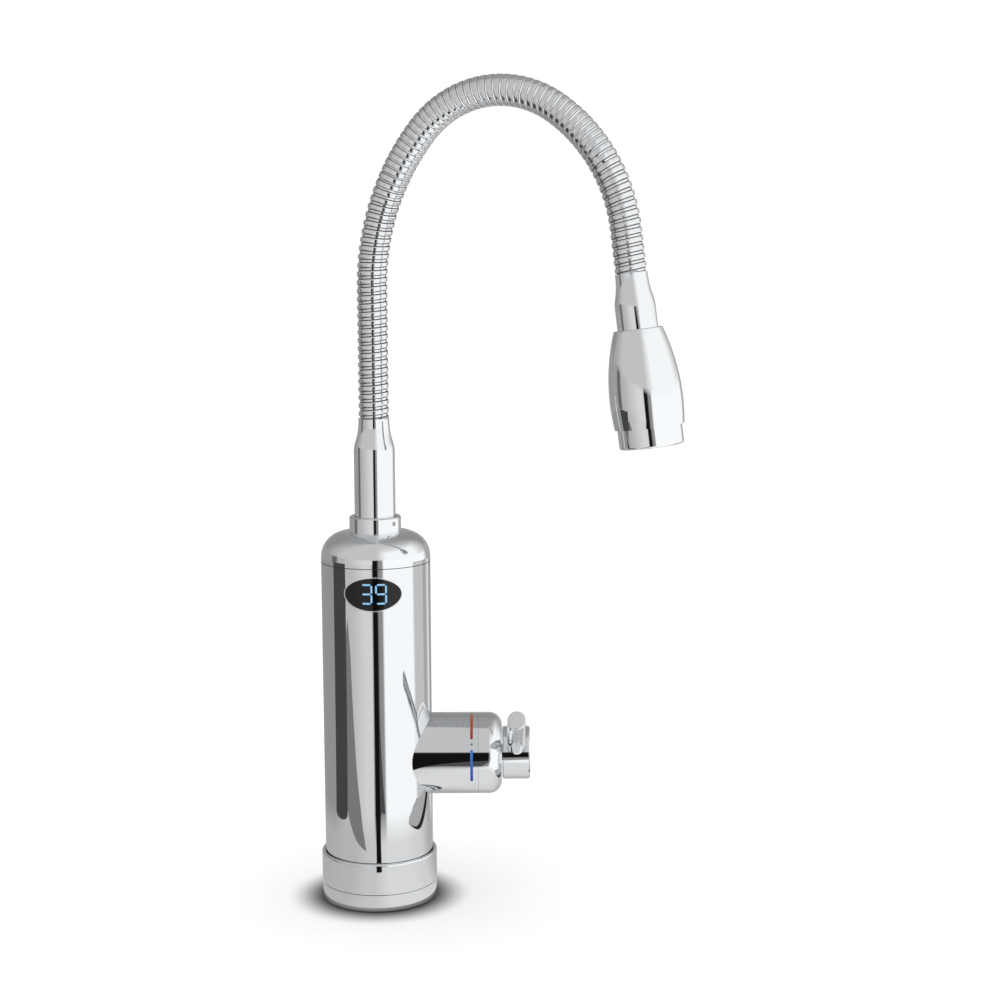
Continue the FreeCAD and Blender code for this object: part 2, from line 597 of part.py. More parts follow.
def cable_gland():
    flange, flange_top = "gland_d / 2 + gland_lip", f"{FLOOR_TOP} + gland_flange"
    return place(
        turned(
            "cable_gland",
            [
                ("gland_bore / 2", "gasket_thick"),
                ("gland_d / 2", "gasket_thick"),
                ("gland_d / 2", FLOOR_TOP),
                (flange, FLOOR_TOP),
                (flange, flange_top),
                ("gland_d / 2", flange_top),
                ("gland_d / 2", f"{FLOOR_TOP} + gland_length"),
                ("gland_bore / 2", f"{FLOOR_TOP} + gland_length"),
            ],
        ),
        y=GLAND_Y,
    )


def oval_prism(label, gap):
    """A prism through the front of the body with the display's oval as its section."""
    oval = doc.addObject("Part::Ellipse", f"{label}_oval")
    oval.setExpression("MajorRadius", bound(f"lens_width / 2 - {gap}"))
    oval.setExpression("MinorRadius", bound(f"lens_height / 2 - {gap}"))
    place(oval, z=BOARD_MIDDLE, rotation=TO_FRONT)
    prism = doc.addObject("Part::Extrusion", label)
    prism.Base = oval
    prism.DirMode = "Custom"
    prism.Dir = Vector(0, -1, 0)
    prism.Solid = True
    prism.setExpression("LengthFwd", bound("body_d"))
    return prism


def body_shell():
    tube = cylinder("shell_tube", "body_d", f"seam_z - {SHELL_BOTTOM}", z=SHELL_BOTTOM)
    barrel = cylinder("shell_barrel", "barrel_d", BARREL_END, z="valve_z", rotation=ALONG_X)
    hollow = cylinder("shell_hollow", f"2 * {SHELL_IN}", "seam_z")
    bore = cylinder(
        "shell_bore", f"2 * {BARREL_BORE}", f"2 * {BARREL_END}", z="valve_z", rotation=ALONG_X
    )
    window = oval_prism("shell_window", "0")
    return cut("body_shell", fuse("shell_outside", tube, barrel), hollow, bore, window)


def top_cap():
    hole, inside = "nipple_neck_d / 2 + fit_gap", f"body_d / 2 - {CAP_WALL}"
    spigot = f"{SHELL_IN} - fit_gap"
    return turned(
        "top_cap",
        [
            (inside, "seam_z - cap_spigot"),
            (spigot, "seam_z - cap_spigot"),
            (spigot, "seam_z"),
            ("body_d / 2 - seam_bevel", "seam_z"),
            ("body_d / 2", "seam_z + seam_bevel"),
            ("body_d / 2", f"{CAP_TOP} - cap_round"),
            ("body_d / 2 - cap_round", CAP_TOP, "cap_round", "left"),
            (hole, CAP_TOP),
            (hole, CAP_CEILING),
            ("body_d / 2 - cap_round", CAP_CEILING),
            (inside, f"{CAP_TOP} - cap_round", f"cap_round - {CAP_WALL}", "right"),
        ],
    )


def display_lens():
    outside = cylinder("lens_outside", "body_d", "seam_z")
    inside = cylinder("lens_inside", f"2 * {SHELL_IN}", "seam_z")
    piece = doc.addObject("Part::Common", "display_lens")
    piece.Label = "display_lens"
    piece.Base = cut("lens_wall", outside, inside)
    piece.Tool = oval_prism("lens_prism", "bearing_gap")
    return piece


def display_module():
    return box(
        "display_module",
        "module_width",
        "module_thick",
        "module_height",
        "-module_width / 2",
        f"-{MODULE_FRONT}",
        f"{BOARD_MIDDLE} - module_height / 2",
    )


def display_board():
    half = f"sqrt(({SHELL_IN} - fit_gap) ^ 2 - {BOARD_FRONT} ^ 2)"
    return box(
        "display_board",
        f"2 * {half}",
        "board_thick",
        "board_height",
        f"-{half}",
        f"-{BOARD_FRONT}",
        f"{BOARD_MIDDLE} - board_height / 2",
    )


def water_block():
    """The block that carries the inlet, the valve cartridge and the heater."""
    outside = cylinder("block_outside", f"2 * {BLOCK_R}", f"{BLOCK_TOP} - {FLOOR_TOP}", z=FLOOR_TOP)
    riser_top, channel_foot = "valve_z - port_offset + port_d", "valve_z + port_offset - port_d"
    tools = [
        cylinder("inlet_pocket", "inlet_outer_d + 2 * fit_gap", INLET_TOP),
        cylinder("riser", "riser_d", f"{riser_top} - {INLET_TOP}", z=INLET_TOP),
        cylinder("channel", "channel_d", BLOCK_TOP, z=channel_foot),
        cylinder(
            "cartridge_socket",
            "cartridge_d + 2 * fit_gap",
            "body_d",
            x="socket_floor",
            z="valve_z",
            rotation=ALONG_X,
        ),
        cylinder("cable_way", "gland_d + 2 * gland_lip + 2 * fit_gap", f"2 * {BLOCK_TOP}", y=GLAND_Y),
        cylinder("reed_hole", "reed_d + 2 * fit_gap", "reed_top", x=f"-{REED_X}"),
    ]
    for name, z in (("low_port", "valve_z - port_offset"), ("high_port", "valve_z + port_offset")):
        tools.append(cylinder(name, "port_d", "2 * socket_floor", z=z, rotation=ALONG_X))
    for step in range(BASE_SCREWS):
        x, y = round_z(SCREW_RING_D, BASE_SCREW_FIRST + step * 360 / BASE_SCREWS)
        depth = f"{SCREW_SEAT} + screw_length + run_gap"
        tools.append(cylinder("base_screw_hole", "screw_d + 2 * fit_gap", depth, x, y))
    for step in range(FLANGE_SCREWS):
        x, y = round_z(FLANGE_RING_D, FLANGE_SCREW_FIRST + step * 360 / FLANGE_SCREWS)
        foot = f"{FLANGE_TOP} - screw_length - run_gap"
        tools.append(cylinder("flange_screw_hole", "screw_d + 2 * fit_gap", BLOCK_TOP, x, y, foot))
    return cut("water_block", outside, *tools)


def inlet_socket():
    thread, port, seat = "inlet_thread_d / 2", "inlet_port / 2", "filter_d / 2 + fit_gap"
    return turned(
        "inlet_socket",
        [
            (thread, "inlet_recess"),
            ("inlet_outer_d / 2", "inlet_recess"),
            ("inlet_outer_d / 2", INLET_TOP),
            (port, INLET_TOP),
            (port, FILTER_TOP),
            (seat, FILTER_TOP),
            (seat, FILTER_FOOT),
            (thread, FILTER_FOOT),
        ],
    )


def inlet_filter():
    rim, mesh, mesh_foot = "filter_d / 2", "inlet_port / 2", f"{FILTER_TOP} - filter_thick / 2"
    return turned(
        "inlet_filter",
        [
            ("0", mesh_foot),
            (mesh, mesh_foot),
            (mesh, FILTER_FOOT),
            (rim, FILTER_FOOT),
            (rim, FILTER_TOP),
            ("0", FILTER_TOP),
        ],
    )


def reed_switch():
    return cylinder("reed_switch", "reed_d", "reed_length", f"-{REED_X}", "0", "reed_top - reed_length")


def flow_piston():
    outer, hole = "riser_d / 2 - bearing_gap", "piston_hole / 2"
    top = f"{INLET_TOP} + piston_length"
    return turned(
        "flow_piston",
        [
            (hole, INLET_TOP),
            (f"{outer} - seam_bevel", INLET_TOP),
            (outer, f"{INLET_TOP} + seam_bevel"),
            (outer, f"{top} - seam_bevel"),
            (f"{outer} - seam_bevel", top),
            (hole, top),
        ],
    )


def flange_gasket():
    inner, outer = f"2 * ({TANK_R} - seal_width)", f"2 * {TANK_R}"
    return washer("flange_gasket", inner, outer, BLOCK_TOP, FLANGE_BOTTOM)


def element_flange():
    outer_d = f"{FLANGE_RING_D} + 2 * flange_rim"
    body = washer("element_flange", "channel_d", outer_d, FLANGE_BOTTOM, FLANGE_TOP)
    x, y = round_z(FLANGE_RING_D, FLANGE_SCREW_FIRST)
    drill(body, "screw_d + 2 * fit_gap", x, y, FLANGE_BOTTOM, "flange_thick", FLANGE_SCREWS)
    for x in ("element_span / 2", "-element_span / 2"):
        for y in ("element_pitch / 2", "-element_pitch / 2"):
            drill(body, "element_d + 2 * fit_gap", x, y, FLANGE_BOTTOM, "flange_thick")
    return body


def hairpin(y):
    """One bent tube of the heating element, with both its legs in the flange."""
    body = doc.addObject("PartDesign::Body", "hairpin")
    body.Label = "hairpin"
    bend = f"{ELEMENT_TOP} - element_span / 2"
    path = new_sketch(body, "XZ_Plane")
    draw(
        path,
        [
            ("-element_span / 2", FLANGE_BOTTOM),
            ("-element_span / 2", bend),
            ("0", ELEMENT_TOP, "element_span / 2", "right"),
            ("element_span / 2", bend, "element_span / 2", "right"),
            ("element_span / 2", FLANGE_BOTTOM),
        ],
        closed=False,
    )
    section = new_sketch(body, "XY_Plane")
    section.setExpression("AttachmentOffset.Base.z", bound(FLANGE_BOTTOM))
    radius, leg = size("element_d") / 2, "-element_span / 2"
    section.addGeometry(Part.Circle(Vector(size(leg), 0, 0), Vector(0, 0, 1), radius), False)
    bind(section, Sketcher.Constraint("DistanceX", -1, 1, 0, 3, size(leg)), leg)
    section.addConstraint(Sketcher.Constraint("PointOnObject", 0, 3, -1))
    bind(section, Sketcher.Constraint("Diameter", 0, 2 * radius), "element_d")
    pipe = body.newObject("PartDesign::AdditivePipe", "Tube")
    pipe.Profile = section
    pipe.Spine = (path, [f"Edge{edge + 1}" for edge in range(path.GeometryCount)])
    return place(body, y=y)


def heating_element():
    return group("heating_element", [hairpin("element_pitch / 2"), hairpin("-element_pitch / 2")])


def heater_tank():
    return washer("heater_tank", f"2 * ({TANK_R} - tank_wall)", f"2 * {TANK_R}", FLANGE_TOP, TANK_TOP)


def tank_lid():
    spigot, seat = f"{TANK_R} - tank_wall - fit_gap", "nipple_neck_d / 2 + fit_gap"
    spigot_end = f"{TANK_TOP} - lid_thick"
    body = turned(
        "tank_lid",
        [
            ("nipple_bore / 2", spigot_end),
            (spigot, spigot_end),
            (spigot, TANK_TOP),
            (TANK_R, TANK_TOP),
            (TANK_R, LID_TOP),
            ("lid_boss_d / 2", LID_TOP),
            ("lid_boss_d / 2", f"{LID_TOP} + lid_boss"),
            (seat, f"{LID_TOP} + lid_boss"),
            (seat, LID_TOP),
            ("nipple_bore / 2", LID_TOP),
        ],
    )
    return drill(body, "probe_d + 2 * fit_gap", f"-{PROBE_X}", "0", spigot_end, "2 * lid_thick")


def temp_probe():
    stem, head, top = "probe_d / 2", "probe_head_d / 2", f"{LID_TOP} + probe_head"
    tip = f"{TANK_TOP} - probe_depth"
    return place(
        turned(
            "temp_probe",
            [
                ("0", tip),
                (stem, f"{tip} + {stem}", stem, "left"),
                (stem, LID_TOP),
                (head, LID_TOP),
                (head, top),
                ("0", top),
            ],
        ),
        x=f"-{PROBE_X}",
    )


def thermal_cutout():
    return cylinder(
        "thermal_cutout",
        "cutout_d",
        "cutout_thick",
        y=f"{TANK_R} + fit_gap",
        z=f"{TANK_TOP} - cutout_drop",
        rotation=TO_BACK,
    )


def seal_groove(outside, floor, middle):
    """The four corners of an O-ring's groove, from below to above."""
    low = f"{middle} - seal_section / 2 - seal_slack / 2"
    high = f"{middle} + seal_section / 2 + seal_slack / 2"
    return [(outside, low), (floor, low), (floor, high), (outside, high)]


def outlet_nipple():
    low = f"{NIPPLE_SEAT} + nipple_seal_low"
    return turned(
        "outlet_nipple",
        [
            ("nipple_bore / 2", LID_TOP),
            ("nipple_neck_d / 2", LID_TOP),
            ("nipple_neck_d / 2", CAP_TOP),
            (NIPPLE_FLANGE_R, CAP_TOP),
            (NIPPLE_FLANGE_R, NIPPLE_SEAT),
            ("nipple_d / 2", NIPPLE_SEAT),
            *seal_groove("nipple_d / 2", SEAL_FLOOR, low),
            *seal_groove("nipple_d / 2", SEAL_FLOOR, f"{low} + nipple_seal_pitch"),
            ("nipple_d / 2", NIPPLE_TOP),
            ("nipple_bore / 2", NIPPLE_TOP),
        ],
    )


def nipple_seals():
    low = f"{NIPPLE_SEAT} + nipple_seal_low"
    return group(
        "nipple_seals",
        [
            seal_ring("low_seal", "0", low, SEAL_FLOOR),
            seal_ring("high_seal", "0", f"{low} + nipple_seal_pitch", SEAL_FLOOR),
        ],
    )


def lock_rotation():
    """The turn that points a cylinder outwards along the locking screw."""
    return Rotation(Vector(0, 0, 1), size("lock_bearing")).multiply(TO_FRONT)


def spout_collar():
    seat, bore = f"{COLLAR_R} - collar_skirt", "shank_d / 2 + run_gap"
    ring = turned(
        "collar_turned",
        [
            (seat, CAP_TOP),
            (COLLAR_R, CAP_TOP),
            (COLLAR_R, f"{COLLAR_TOP} - collar_edge"),
            (f"{COLLAR_R} - collar_edge", COLLAR_TOP),
            (bore, COLLAR_TOP),
            (bore, NIPPLE_SEAT),
            (seat, NIPPLE_SEAT),
        ],
    )
    hole = cylinder(
        "lock_hole", "lock_d + 2 * fit_gap", f"2 * {COLLAR_R}", z=LOCK_Z, rotation=lock_rotation()
    )
    return cut("spout_collar", ring, hole)


def collar_screw():
    """The locking screw, whose tip rides in the shank's groove."""
    start, end = "(shank_d / 2 - lock_groove + run_gap)", f"({COLLAR_R} - lock_sunk)"
    bearing = "lock_bearing"
    return cylinder(
        "collar_screw",
        "lock_d",
        f"{end} - {start}",
        f"{start} * sin({bearing})",
        f"-{start} * cos({bearing})",
        LOCK_Z,
        lock_rotation(),
    )


def ferrule_bend(wide, length):
    """Half angle, bend point and second radius of a ferrule's S-shaped shoulder."""
    turn = f"(2 * atan(({wide} - neck_d) / 2 / {length}))"
    inward, along = f"shoulder_round * (1 - cos({turn}))", f"shoulder_round * sin({turn})"
    return inward, along, f"{length} / sin({turn}) - shoulder_round"


def spout_shank():
    groove_low = f"{LOCK_Z} - lock_d / 2 - run_gap"
    groove_high = f"{LOCK_Z} + lock_d / 2 + run_gap"
    inward, along, hollow = ferrule_bend("shank_d", "neck_taper")
    foot, top = f"{NIPPLE_SEAT} + run_gap", f"{NIPPLE_TOP} + run_gap"
    return turned(
        "spout_shank",
        [
            (SEAL_BORE, foot),
            ("shank_d / 2", foot),
            ("shank_d / 2", groove_low),
            ("shank_d / 2 - lock_groove", groove_low),
            ("shank_d / 2 - lock_groove", groove_high),
            ("shank_d / 2", groove_high),
            ("shank_d / 2", SHOULDER_Z),
            (f"shank_d / 2 - {inward}", f"{SHOULDER_Z} + {along}", "shoulder_round", "left"),
            ("neck_d / 2", f"{HOSE_Z} - neck_lip", hollow, "right"),
            ("neck_d / 2", HOSE_Z),
            (HOSE_SOCKET_R, HOSE_Z),
            (HOSE_SOCKET_R, f"{HOSE_Z} - hose_socket"),
            (TUBE_SOCKET_R, f"{HOSE_Z} - hose_socket"),
            (TUBE_SOCKET_R, top),
            (SEAL_BORE, top),
        ],
    )


# The gooseneck's centreline lies in an upright plane: a run, three bends and a run.
OUTWARD = Rotation(Vector(0, 0, 1), -size("spout_bearing")).multVec(Vector(1, 0, 0))
SIDEWAYS = Vector(0, 0, 1).cross(OUTWARD)
STRETCHES = [(size("rise"), None)] + [
    (size(f"{bend}_radius") * math.radians(size(f"{bend}_turn")), size(f"{bend}_radius"))
    for bend in ("entry", "crown", "exit")
]
STRETCHES.append((size("tail"), None))
HOSE_LENGTH = sum(length for length, radius in STRETCHES)
RIBS = round(HOSE_LENGTH / size("rib_pitch"))
PITCH = HOSE_LENGTH / RIBS


def heading_vector(heading):
    """The direction that lies at an angle from straight up towards the spray head."""
    return OUTWARD * math.sin(heading) + Vector(0, 0, math.cos(heading))


def on_gooseneck(distance):
    """The point and direction at a distance along the centreline. Both end runs go on."""
    point, heading = Vector(0, 0, size(HOSE_Z)), 0.0
    for number, (length, radius) in enumerate(STRETCHES):
        last = number == len(STRETCHES) - 1
        step = distance if last else min(distance, length)
        if radius is None:
            point = point + heading_vector(heading) * step
        else:
            centre = point + heading_vector(heading + math.pi / 2) * radius
            heading += step / radius
            point = centre - heading_vector(heading + math.pi / 2) * radius
        distance -= step
        if distance <= 0 and not last:
            break
    return point, heading_vector(heading)


def circle_on_gooseneck(distance, radius):
    """A circle square to the centreline, whose X axis is always square to the arch."""
    point, along = on_gooseneck(distance)
    circle = Part.Wire(Part.Edge(Part.Circle(Vector(), Vector(0, 0, 1), radius)))
    circle.Placement = Placement(point, Rotation(SIDEWAYS, along.cross(SIDEWAYS), along, "ZXY"))
    return circle


def tube_on_gooseneck(start, end, radius):
    """A round bar along the centreline between two distances."""
    edges, passed = [], 0.0
    for number, (length, curve) in enumerate(STRETCHES):
        first = start if number == 0 else max(start, passed)
        final = end if number == len(STRETCHES) - 1 else min(end, passed + length)
        passed += length
        if final <= first:
            continue
        points = [on_gooseneck(d)[0] for d in (first, (first + final) / 2, final)]
        edge = Part.LineSegment(points[0], points[2]) if curve is None else Part.Arc(*points)
        edges.append(edge.toShape())
    return Part.Wire(edges).makePipeShell([circle_on_gooseneck(start, radius)], True, False)


def hose_piece(label, first, last):
    """The ribbed hose from one rib to another. Each rib is a band between two flanks, and the
    hose's two ends have plain sleeves that sit in the ferrules."""
    band_r = size("hose_d") / 2
    floor_r = band_r - size("groove_depth")
    half_band, flank = size("rib_band") / 2, size("rib_flank")
    stations = [(first * PITCH, floor_r)]
    for rib in range(first, last):
        middle = (rib + 0.5) * PITCH
        stations += [
            (middle - half_band - flank, floor_r),
            (middle - half_band, band_r),
            (middle + half_band, band_r),
            (middle + half_band + flank, floor_r),
        ]
    stations.append((last * PITCH, floor_r))
    solid = Part.makeLoft([circle_on_gooseneck(*station) for station in stations], True, True)
    start, end, core_r = first * PITCH, last * PITCH, size(HOSE_CORE_R)
    if first == 0:
        start -= size("hose_socket")
        solid = solid.fuse(tube_on_gooseneck(start, PITCH / 2, core_r))
    if last == RIBS:
        end += size("hose_socket")
        solid = solid.fuse(tube_on_gooseneck(end - size("hose_socket") - PITCH / 2, end, core_r))
    solid = solid.cut(tube_on_gooseneck(start - PITCH, end + PITCH, size("hose_bore") / 2))
    piece = doc.addObject("Part::Feature", label)
    piece.Label = label
    piece.Shape = solid.Solids[0]
    piece.Placement = Placement()
    return piece


def flex_ribs(middle):
    """The first rib of a flexing stretch, and the first rib after it."""
    half = round(size("flex_ribs") / 2)
    rib = round(size(middle) / PITCH)
    return rib - half, rib + half


def gooseneck_hose():
    """Five stretches of hose that keep their shape, and four between them that flex."""
    flexes = [flex_ribs(f"{bend}_at") for bend in ("sway", "lean", "arch", "aim")]
    starts = [0] + [last for first, last in flexes]
    ends = [first for first, last in flexes] + [RIBS]
    names = ("hose_foot", "hose_rise", "hose_crown", "hose_drop", "hose_tip")
    pieces = [hose_piece(*stretch) for stretch in zip(names, starts, ends)]
    for number, (first, last) in enumerate(flexes, start=1):
        pieces.append(hose_piece(f"hose_flex_{number}", first, last))
        pivot, along = on_gooseneck((first + last) / 2 * PITCH)
        print(f"hose_flex_{number} pivot", *(round(c, 4) for c in pivot), "along", *along)
    groove = PITCH - size("rib_band") - 2 * size("rib_flank")
    least = groove * (1 - size("hose_d") / 2 / size("crown_radius"))
    print(f"{RIBS} ribs on {HOSE_LENGTH:.1f} mm, least groove inside the crown {least:.2f} mm")
    return pieces


def inner_tube():
    start, end = -size("tube_foot"), HOSE_LENGTH + size("tube_head")
    outside = tube_on_gooseneck(start, end, size("tube_d") / 2)
    piece = doc.addObject("Part::Feature", "inner_tube")
    piece.Label = "inner_tube"
    piece.Shape = outside.cut(tube_on_gooseneck(start - PITCH, end + PITCH, size("tube_bore") / 2))
    piece.Placement = Placement()
    return piece


def head_placement():
    """The spray head's own frame: Z runs down its axis from the end of the hose."""
    point, along = on_gooseneck(HOSE_LENGTH)
    return Placement(point, Rotation(SIDEWAYS, along.cross(SIDEWAYS), along, "ZXY"))


HEAD = head_placement()


def in_head(piece):
    """Moves a piece that was made in the spray head's frame to the end of the gooseneck."""
    piece.Placement = HEAD
    return piece


def head_neck():
    inward, along, hollow = ferrule_bend("head_neck_d", "head_taper")
    wide_from, tube_end = "(neck_lip + head_taper)", "(tube_head + run_gap)"
    return in_head(
        turned(
            "head_neck",
            [
                (HOSE_SOCKET_R, "0"),
                ("neck_d / 2", "0"),
                ("neck_d / 2", "neck_lip"),
                (f"head_neck_d / 2 - {inward}", f"{wide_from} - {along}", hollow, "right"),
                ("head_neck_d / 2", wide_from, "shoulder_round", "left"),
                ("head_neck_d / 2", CORE_TOP),
                ("head_thread_d / 2", CORE_TOP),
                ("head_thread_d / 2", NECK_END),
                ("head_bore / 2", NECK_END),
                ("head_bore / 2", tube_end),
                (TUBE_SOCKET_R, tube_end),
                (TUBE_SOCKET_R, "hose_socket"),
                (HOSE_SOCKET_R, "hose_socket"),
            ],
        )
    )


def head_shell():
    hole, mouth, seat = "head_neck_d / 2 + fit_gap", f"{RING_R} + run_gap", f"{CORE_R} + fit_gap"
    return in_head(
        turned(
            "head_shell",
            [
                (hole, "head_neck_length"),
                (f"{BELL_TOP_R} - bell_edge", "head_neck_length"),
                (BELL_TOP_R, "head_neck_length + bell_edge", "bell_edge", "left"),
                ("bell_rim_d / 2", BELL_END, "bell_bow", "left"),
                (mouth, BELL_END),
                (mouth, CORE_END),
                (seat, CORE_TOP, "bell_bow", "right"),
                (hole, CORE_TOP),
            ],
        )
    )


def head_core():
    seat, bore = "head_thread_d / 2 + fit_gap", "head_bore / 2"
    chamber, stem = "core_chamber_d / 2", "stem_d / 2"
    chamber_top, chamber_floor = f"{CORE_SEAT} + core_web", f"{CORE_END} - core_floor"
    body = turned(
        "head_core",
        [
            (seat, CORE_TOP),
            (CORE_R, CORE_TOP),
            (CORE_R, CORE_END),
            (stem, CORE_END),
            (stem, CLIP_TOP),
            (f"{stem} - clip_depth", CLIP_TOP),
            (f"{stem} - clip_depth", f"{CLIP_TOP} + clip_thick + fit_gap"),
            (stem, f"{CLIP_TOP} + clip_thick + fit_gap"),
            (stem, STEM_END),
            ("0", STEM_END),
            ("0", chamber_floor),
            (chamber, chamber_floor),
            (chamber, chamber_top),
            (bore, chamber_top),
            (bore, CORE_SEAT),
            (seat, CORE_SEAT),
        ],
    )
    ring = "core_port_ring_d / 2"
    drill(body, "core_port_d", ring, "0", chamber_floor, "core_floor", CORE_PORTS)
    return in_head(body)


def head_washer():
    return in_head(washer("head_washer", "head_bore", "head_thread_d", NECK_END, CORE_SEAT))


def ring_clip():
    inner = "stem_d - 2 * clip_depth + 2 * fit_gap"
    return in_head(washer("ring_clip", inner, "clip_d", CLIP_TOP, f"{CLIP_TOP} + clip_thick"))


def face_ring():
    hub, wall = "stem_d / 2 + bearing_gap", f"{RING_R} - ring_wall"
    ledge, plate_low = f"{wall} - ring_ledge", f"{FACE_TOP} + ring_plate"
    return in_head(
        turned(
            "face_ring",
            [
                (hub, FACE_TOP),
                (RING_R, FACE_TOP),
                (RING_R, f"{FACE_END} - ring_edge"),
                (f"{RING_R} - ring_edge", FACE_END, "ring_edge", "left"),
                (wall, FACE_END),
                (wall, PLATE_TOP),
                (ledge, PLATE_TOP),
                (ledge, plate_low),
                (hub, plate_low),
            ],
        )
    )


def nozzle_plate():
    outer = f"2 * ({RING_R} - ring_wall - fit_gap)"
    body = washer("nozzle_plate", "aerator_d + 2 * fit_gap", outer, PLATE_TOP, PLATE_END)
    for ring_d, count in NOZZLE_RINGS:
        drill(body, "nozzle_d + 2 * fit_gap", f"{ring_d} / 2", "0", PLATE_TOP, "plate_thick", count)
    return in_head(body)


def nozzle_tips():
    """Soft tips in the nozzle plate's holes, each with a fine hole of its own in the real one."""
    pieces = []
    for ring_d, count in NOZZLE_RINGS:
        for step in range(count):
            tip = cylinder("nozzle_tip", "nozzle_d", "plate_thick + nozzle_proud")
            x, y = round_z(ring_d, step * 360 / count)
            spot = Vector(size(x), size(y), size(PLATE_TOP))
            tip.Placement = HEAD.multiply(Placement(spot, Rotation()))
            pieces.append(tip)
    return group("nozzle_tips", pieces)


def aerator():
    end = f"({PLATE_END} + nozzle_proud / 2)"
    return in_head(
        turned(
            "aerator",
            [
                ("0", f"{end} - aerator_length"),
                ("aerator_d / 2", f"{end} - aerator_length"),
                ("aerator_d / 2", f"{end} - seam_bevel"),
                ("aerator_d / 2 - seam_bevel", end),
                ("0", end),
            ],
        )
    )


def on_valve(piece):
    """Lays a turned piece along the valve's axis."""
    return place(piece, z="valve_z", rotation=ALONG_X)


def cartridge_body():
    outer, flange = "cartridge_d / 2", f"{BARREL_BORE} - run_gap"
    cavity_end = f"{CARRIER_END} + bearing_gap"
    return on_valve(
        turned(
            "cartridge_body",
            [
                (CAVITY_R, "socket_floor"),
                (outer, "socket_floor"),
                (outer, FLANGE_X),
                (flange, FLANGE_X),
                (flange, NUT_START),
                (NOSE_R, NUT_START),
                (NOSE_R, CARTRIDGE_END),
                (SPINDLE_BORE, CARTRIDGE_END),
                (SPINDLE_BORE, cavity_end),
                (CAVITY_R, cavity_end),
            ],
        )
    )


def cartridge_seal():
    outer = f"2 * {CAVITY_R} - 2 * fit_gap"
    return on_valve(washer("cartridge_seal", "cup_seal_d", outer, "socket_floor", DISC_START))


def ceramic_disc(label, start, end, radius):
    return turned(label, [("0", start), (radius, start), (radius, end), ("0", end)])


def fixed_disc():
    body = ceramic_disc("fixed_disc", DISC_START, DISC_MEET, f"{CAVITY_R} - fit_gap")
    drill(body, "disc_port_d", "port_offset", "0", DISC_START, "disc_thick", 2)
    return on_valve(body)


def turning_disc():
    start = f"{DISC_MEET} + bearing_gap"
    body = ceramic_disc("turning_disc", start, CARRIER_START, f"{CAVITY_R} - run_gap")
    drill(body, "disc_port_d", "0", "port_offset", start, "disc_thick")
    return on_valve(body)


def valve_spindle():
    """The spindle with its disc carrier and the groove of its O-ring."""
    carrier, shaft = f"{CAVITY_R} - run_gap", "spindle_d / 2"
    return on_valve(
        turned(
            "valve_spindle",
            [
                ("0", CARRIER_START),
                (carrier, CARRIER_START),
                (carrier, CARRIER_END),
                (shaft, CARRIER_END),
                *seal_groove(shaft, f"{shaft} - seal_section", SPINDLE_SEAL_X),
                (shaft, SPINDLE_END),
                ("0", SPINDLE_END),
            ],
        )
    )


def spindle_seal():
    floor = "(spindle_d / 2 - seal_section)"
    return seal_ring("spindle_seal", SPINDLE_SEAL_X, "valve_z", floor, ALONG_X)


def gland_nut():
    inner, outer = f"2 * {NOSE_R} + 2 * fit_gap", f"2 * {BARREL_BORE} - 2 * fit_gap"
    return on_valve(washer("gland_nut", inner, outer, NUT_START, f"{NUT_START} + nut_length"))


def bonnet():
    inside, spigot = f"barrel_d / 2 - {BONNET_WALL}", f"{BARREL_BORE} - fit_gap"
    ceiling = f"{BONNET_END} - {BONNET_WALL}"
    return on_valve(
        turned(
            "bonnet",
            [
                (inside, f"{BARREL_END} - bonnet_spigot"),
                (spigot, f"{BARREL_END} - bonnet_spigot"),
                (spigot, BARREL_END),
                ("barrel_d / 2 - seam_bevel", BARREL_END),
                ("barrel_d / 2", f"{BARREL_END} + seam_bevel"),
                ("barrel_d / 2", f"{BONNET_END} - bonnet_round"),
                ("barrel_d / 2 - bonnet_round", BONNET_END, "bonnet_round", "left"),
                ("bonnet_hole_d / 2", BONNET_END),
                ("bonnet_hole_d / 2", ceiling),
                ("barrel_d / 2 - bonnet_round", ceiling),
                (inside, f"{BONNET_END} - bonnet_round", f"bonnet_round - {BONNET_WALL}", "right"),
            ],
        )
    )


def lever_rotation():
    """The turn that points a cylinder outwards along the lever."""
    return Rotation(Vector(1, 0, 0), 90 - size("lever_angle"))


def handle_hub():
    turned_hub = on_valve(
        turned(
            "hub_turned",
            [
                (SPINDLE_BORE, HUB_START),
                ("hub_d / 2 - hub_edge", HUB_START),
                ("hub_d / 2", f"{HUB_START} + hub_edge"),
                ("hub_d / 2", f"{HUB_END} - hub_edge"),
                ("hub_d / 2 - hub_edge", HUB_END),
                ("0", HUB_END),
                ("0", SPINDLE_END),
                (SPINDLE_BORE, SPINDLE_END),
            ],
        )
    )
    middle, angle = f"({HUB_START} + {HUB_END}) / 2", "lever_angle"
    tail = cylinder(
        "tail_hole", "lever_tail_d + 2 * fit_gap", "hub_d", middle, "0", "valve_z", lever_rotation()
    )
    seat = cylinder(
        "lever_hole",
        "lever_d + 2 * fit_gap",
        "hub_d",
        middle,
        f"-lever_seat * cos({angle})",
        f"valve_z + lever_seat * sin({angle})",
        lever_rotation(),
    )
    return cut("handle_hub", turned_hub, tail, seat)


def lever_rod():
    tail, rod = "lever_tail_d / 2", "lever_d / 2"
    body = turned(
        "lever_rod",
        [
            ("0", LEVER_TIP),
            (tail, LEVER_TIP),
            (tail, "lever_seat"),
            (rod, "lever_seat"),
            (rod, "lever_reach - lever_edge"),
            (f"{rod} - lever_edge", "lever_reach", "lever_edge", "left"),
            ("0", "lever_reach"),
        ],
    )
    return place(body, f"({HUB_START} + {HUB_END}) / 2", "0", "valve_z", lever_rotation())


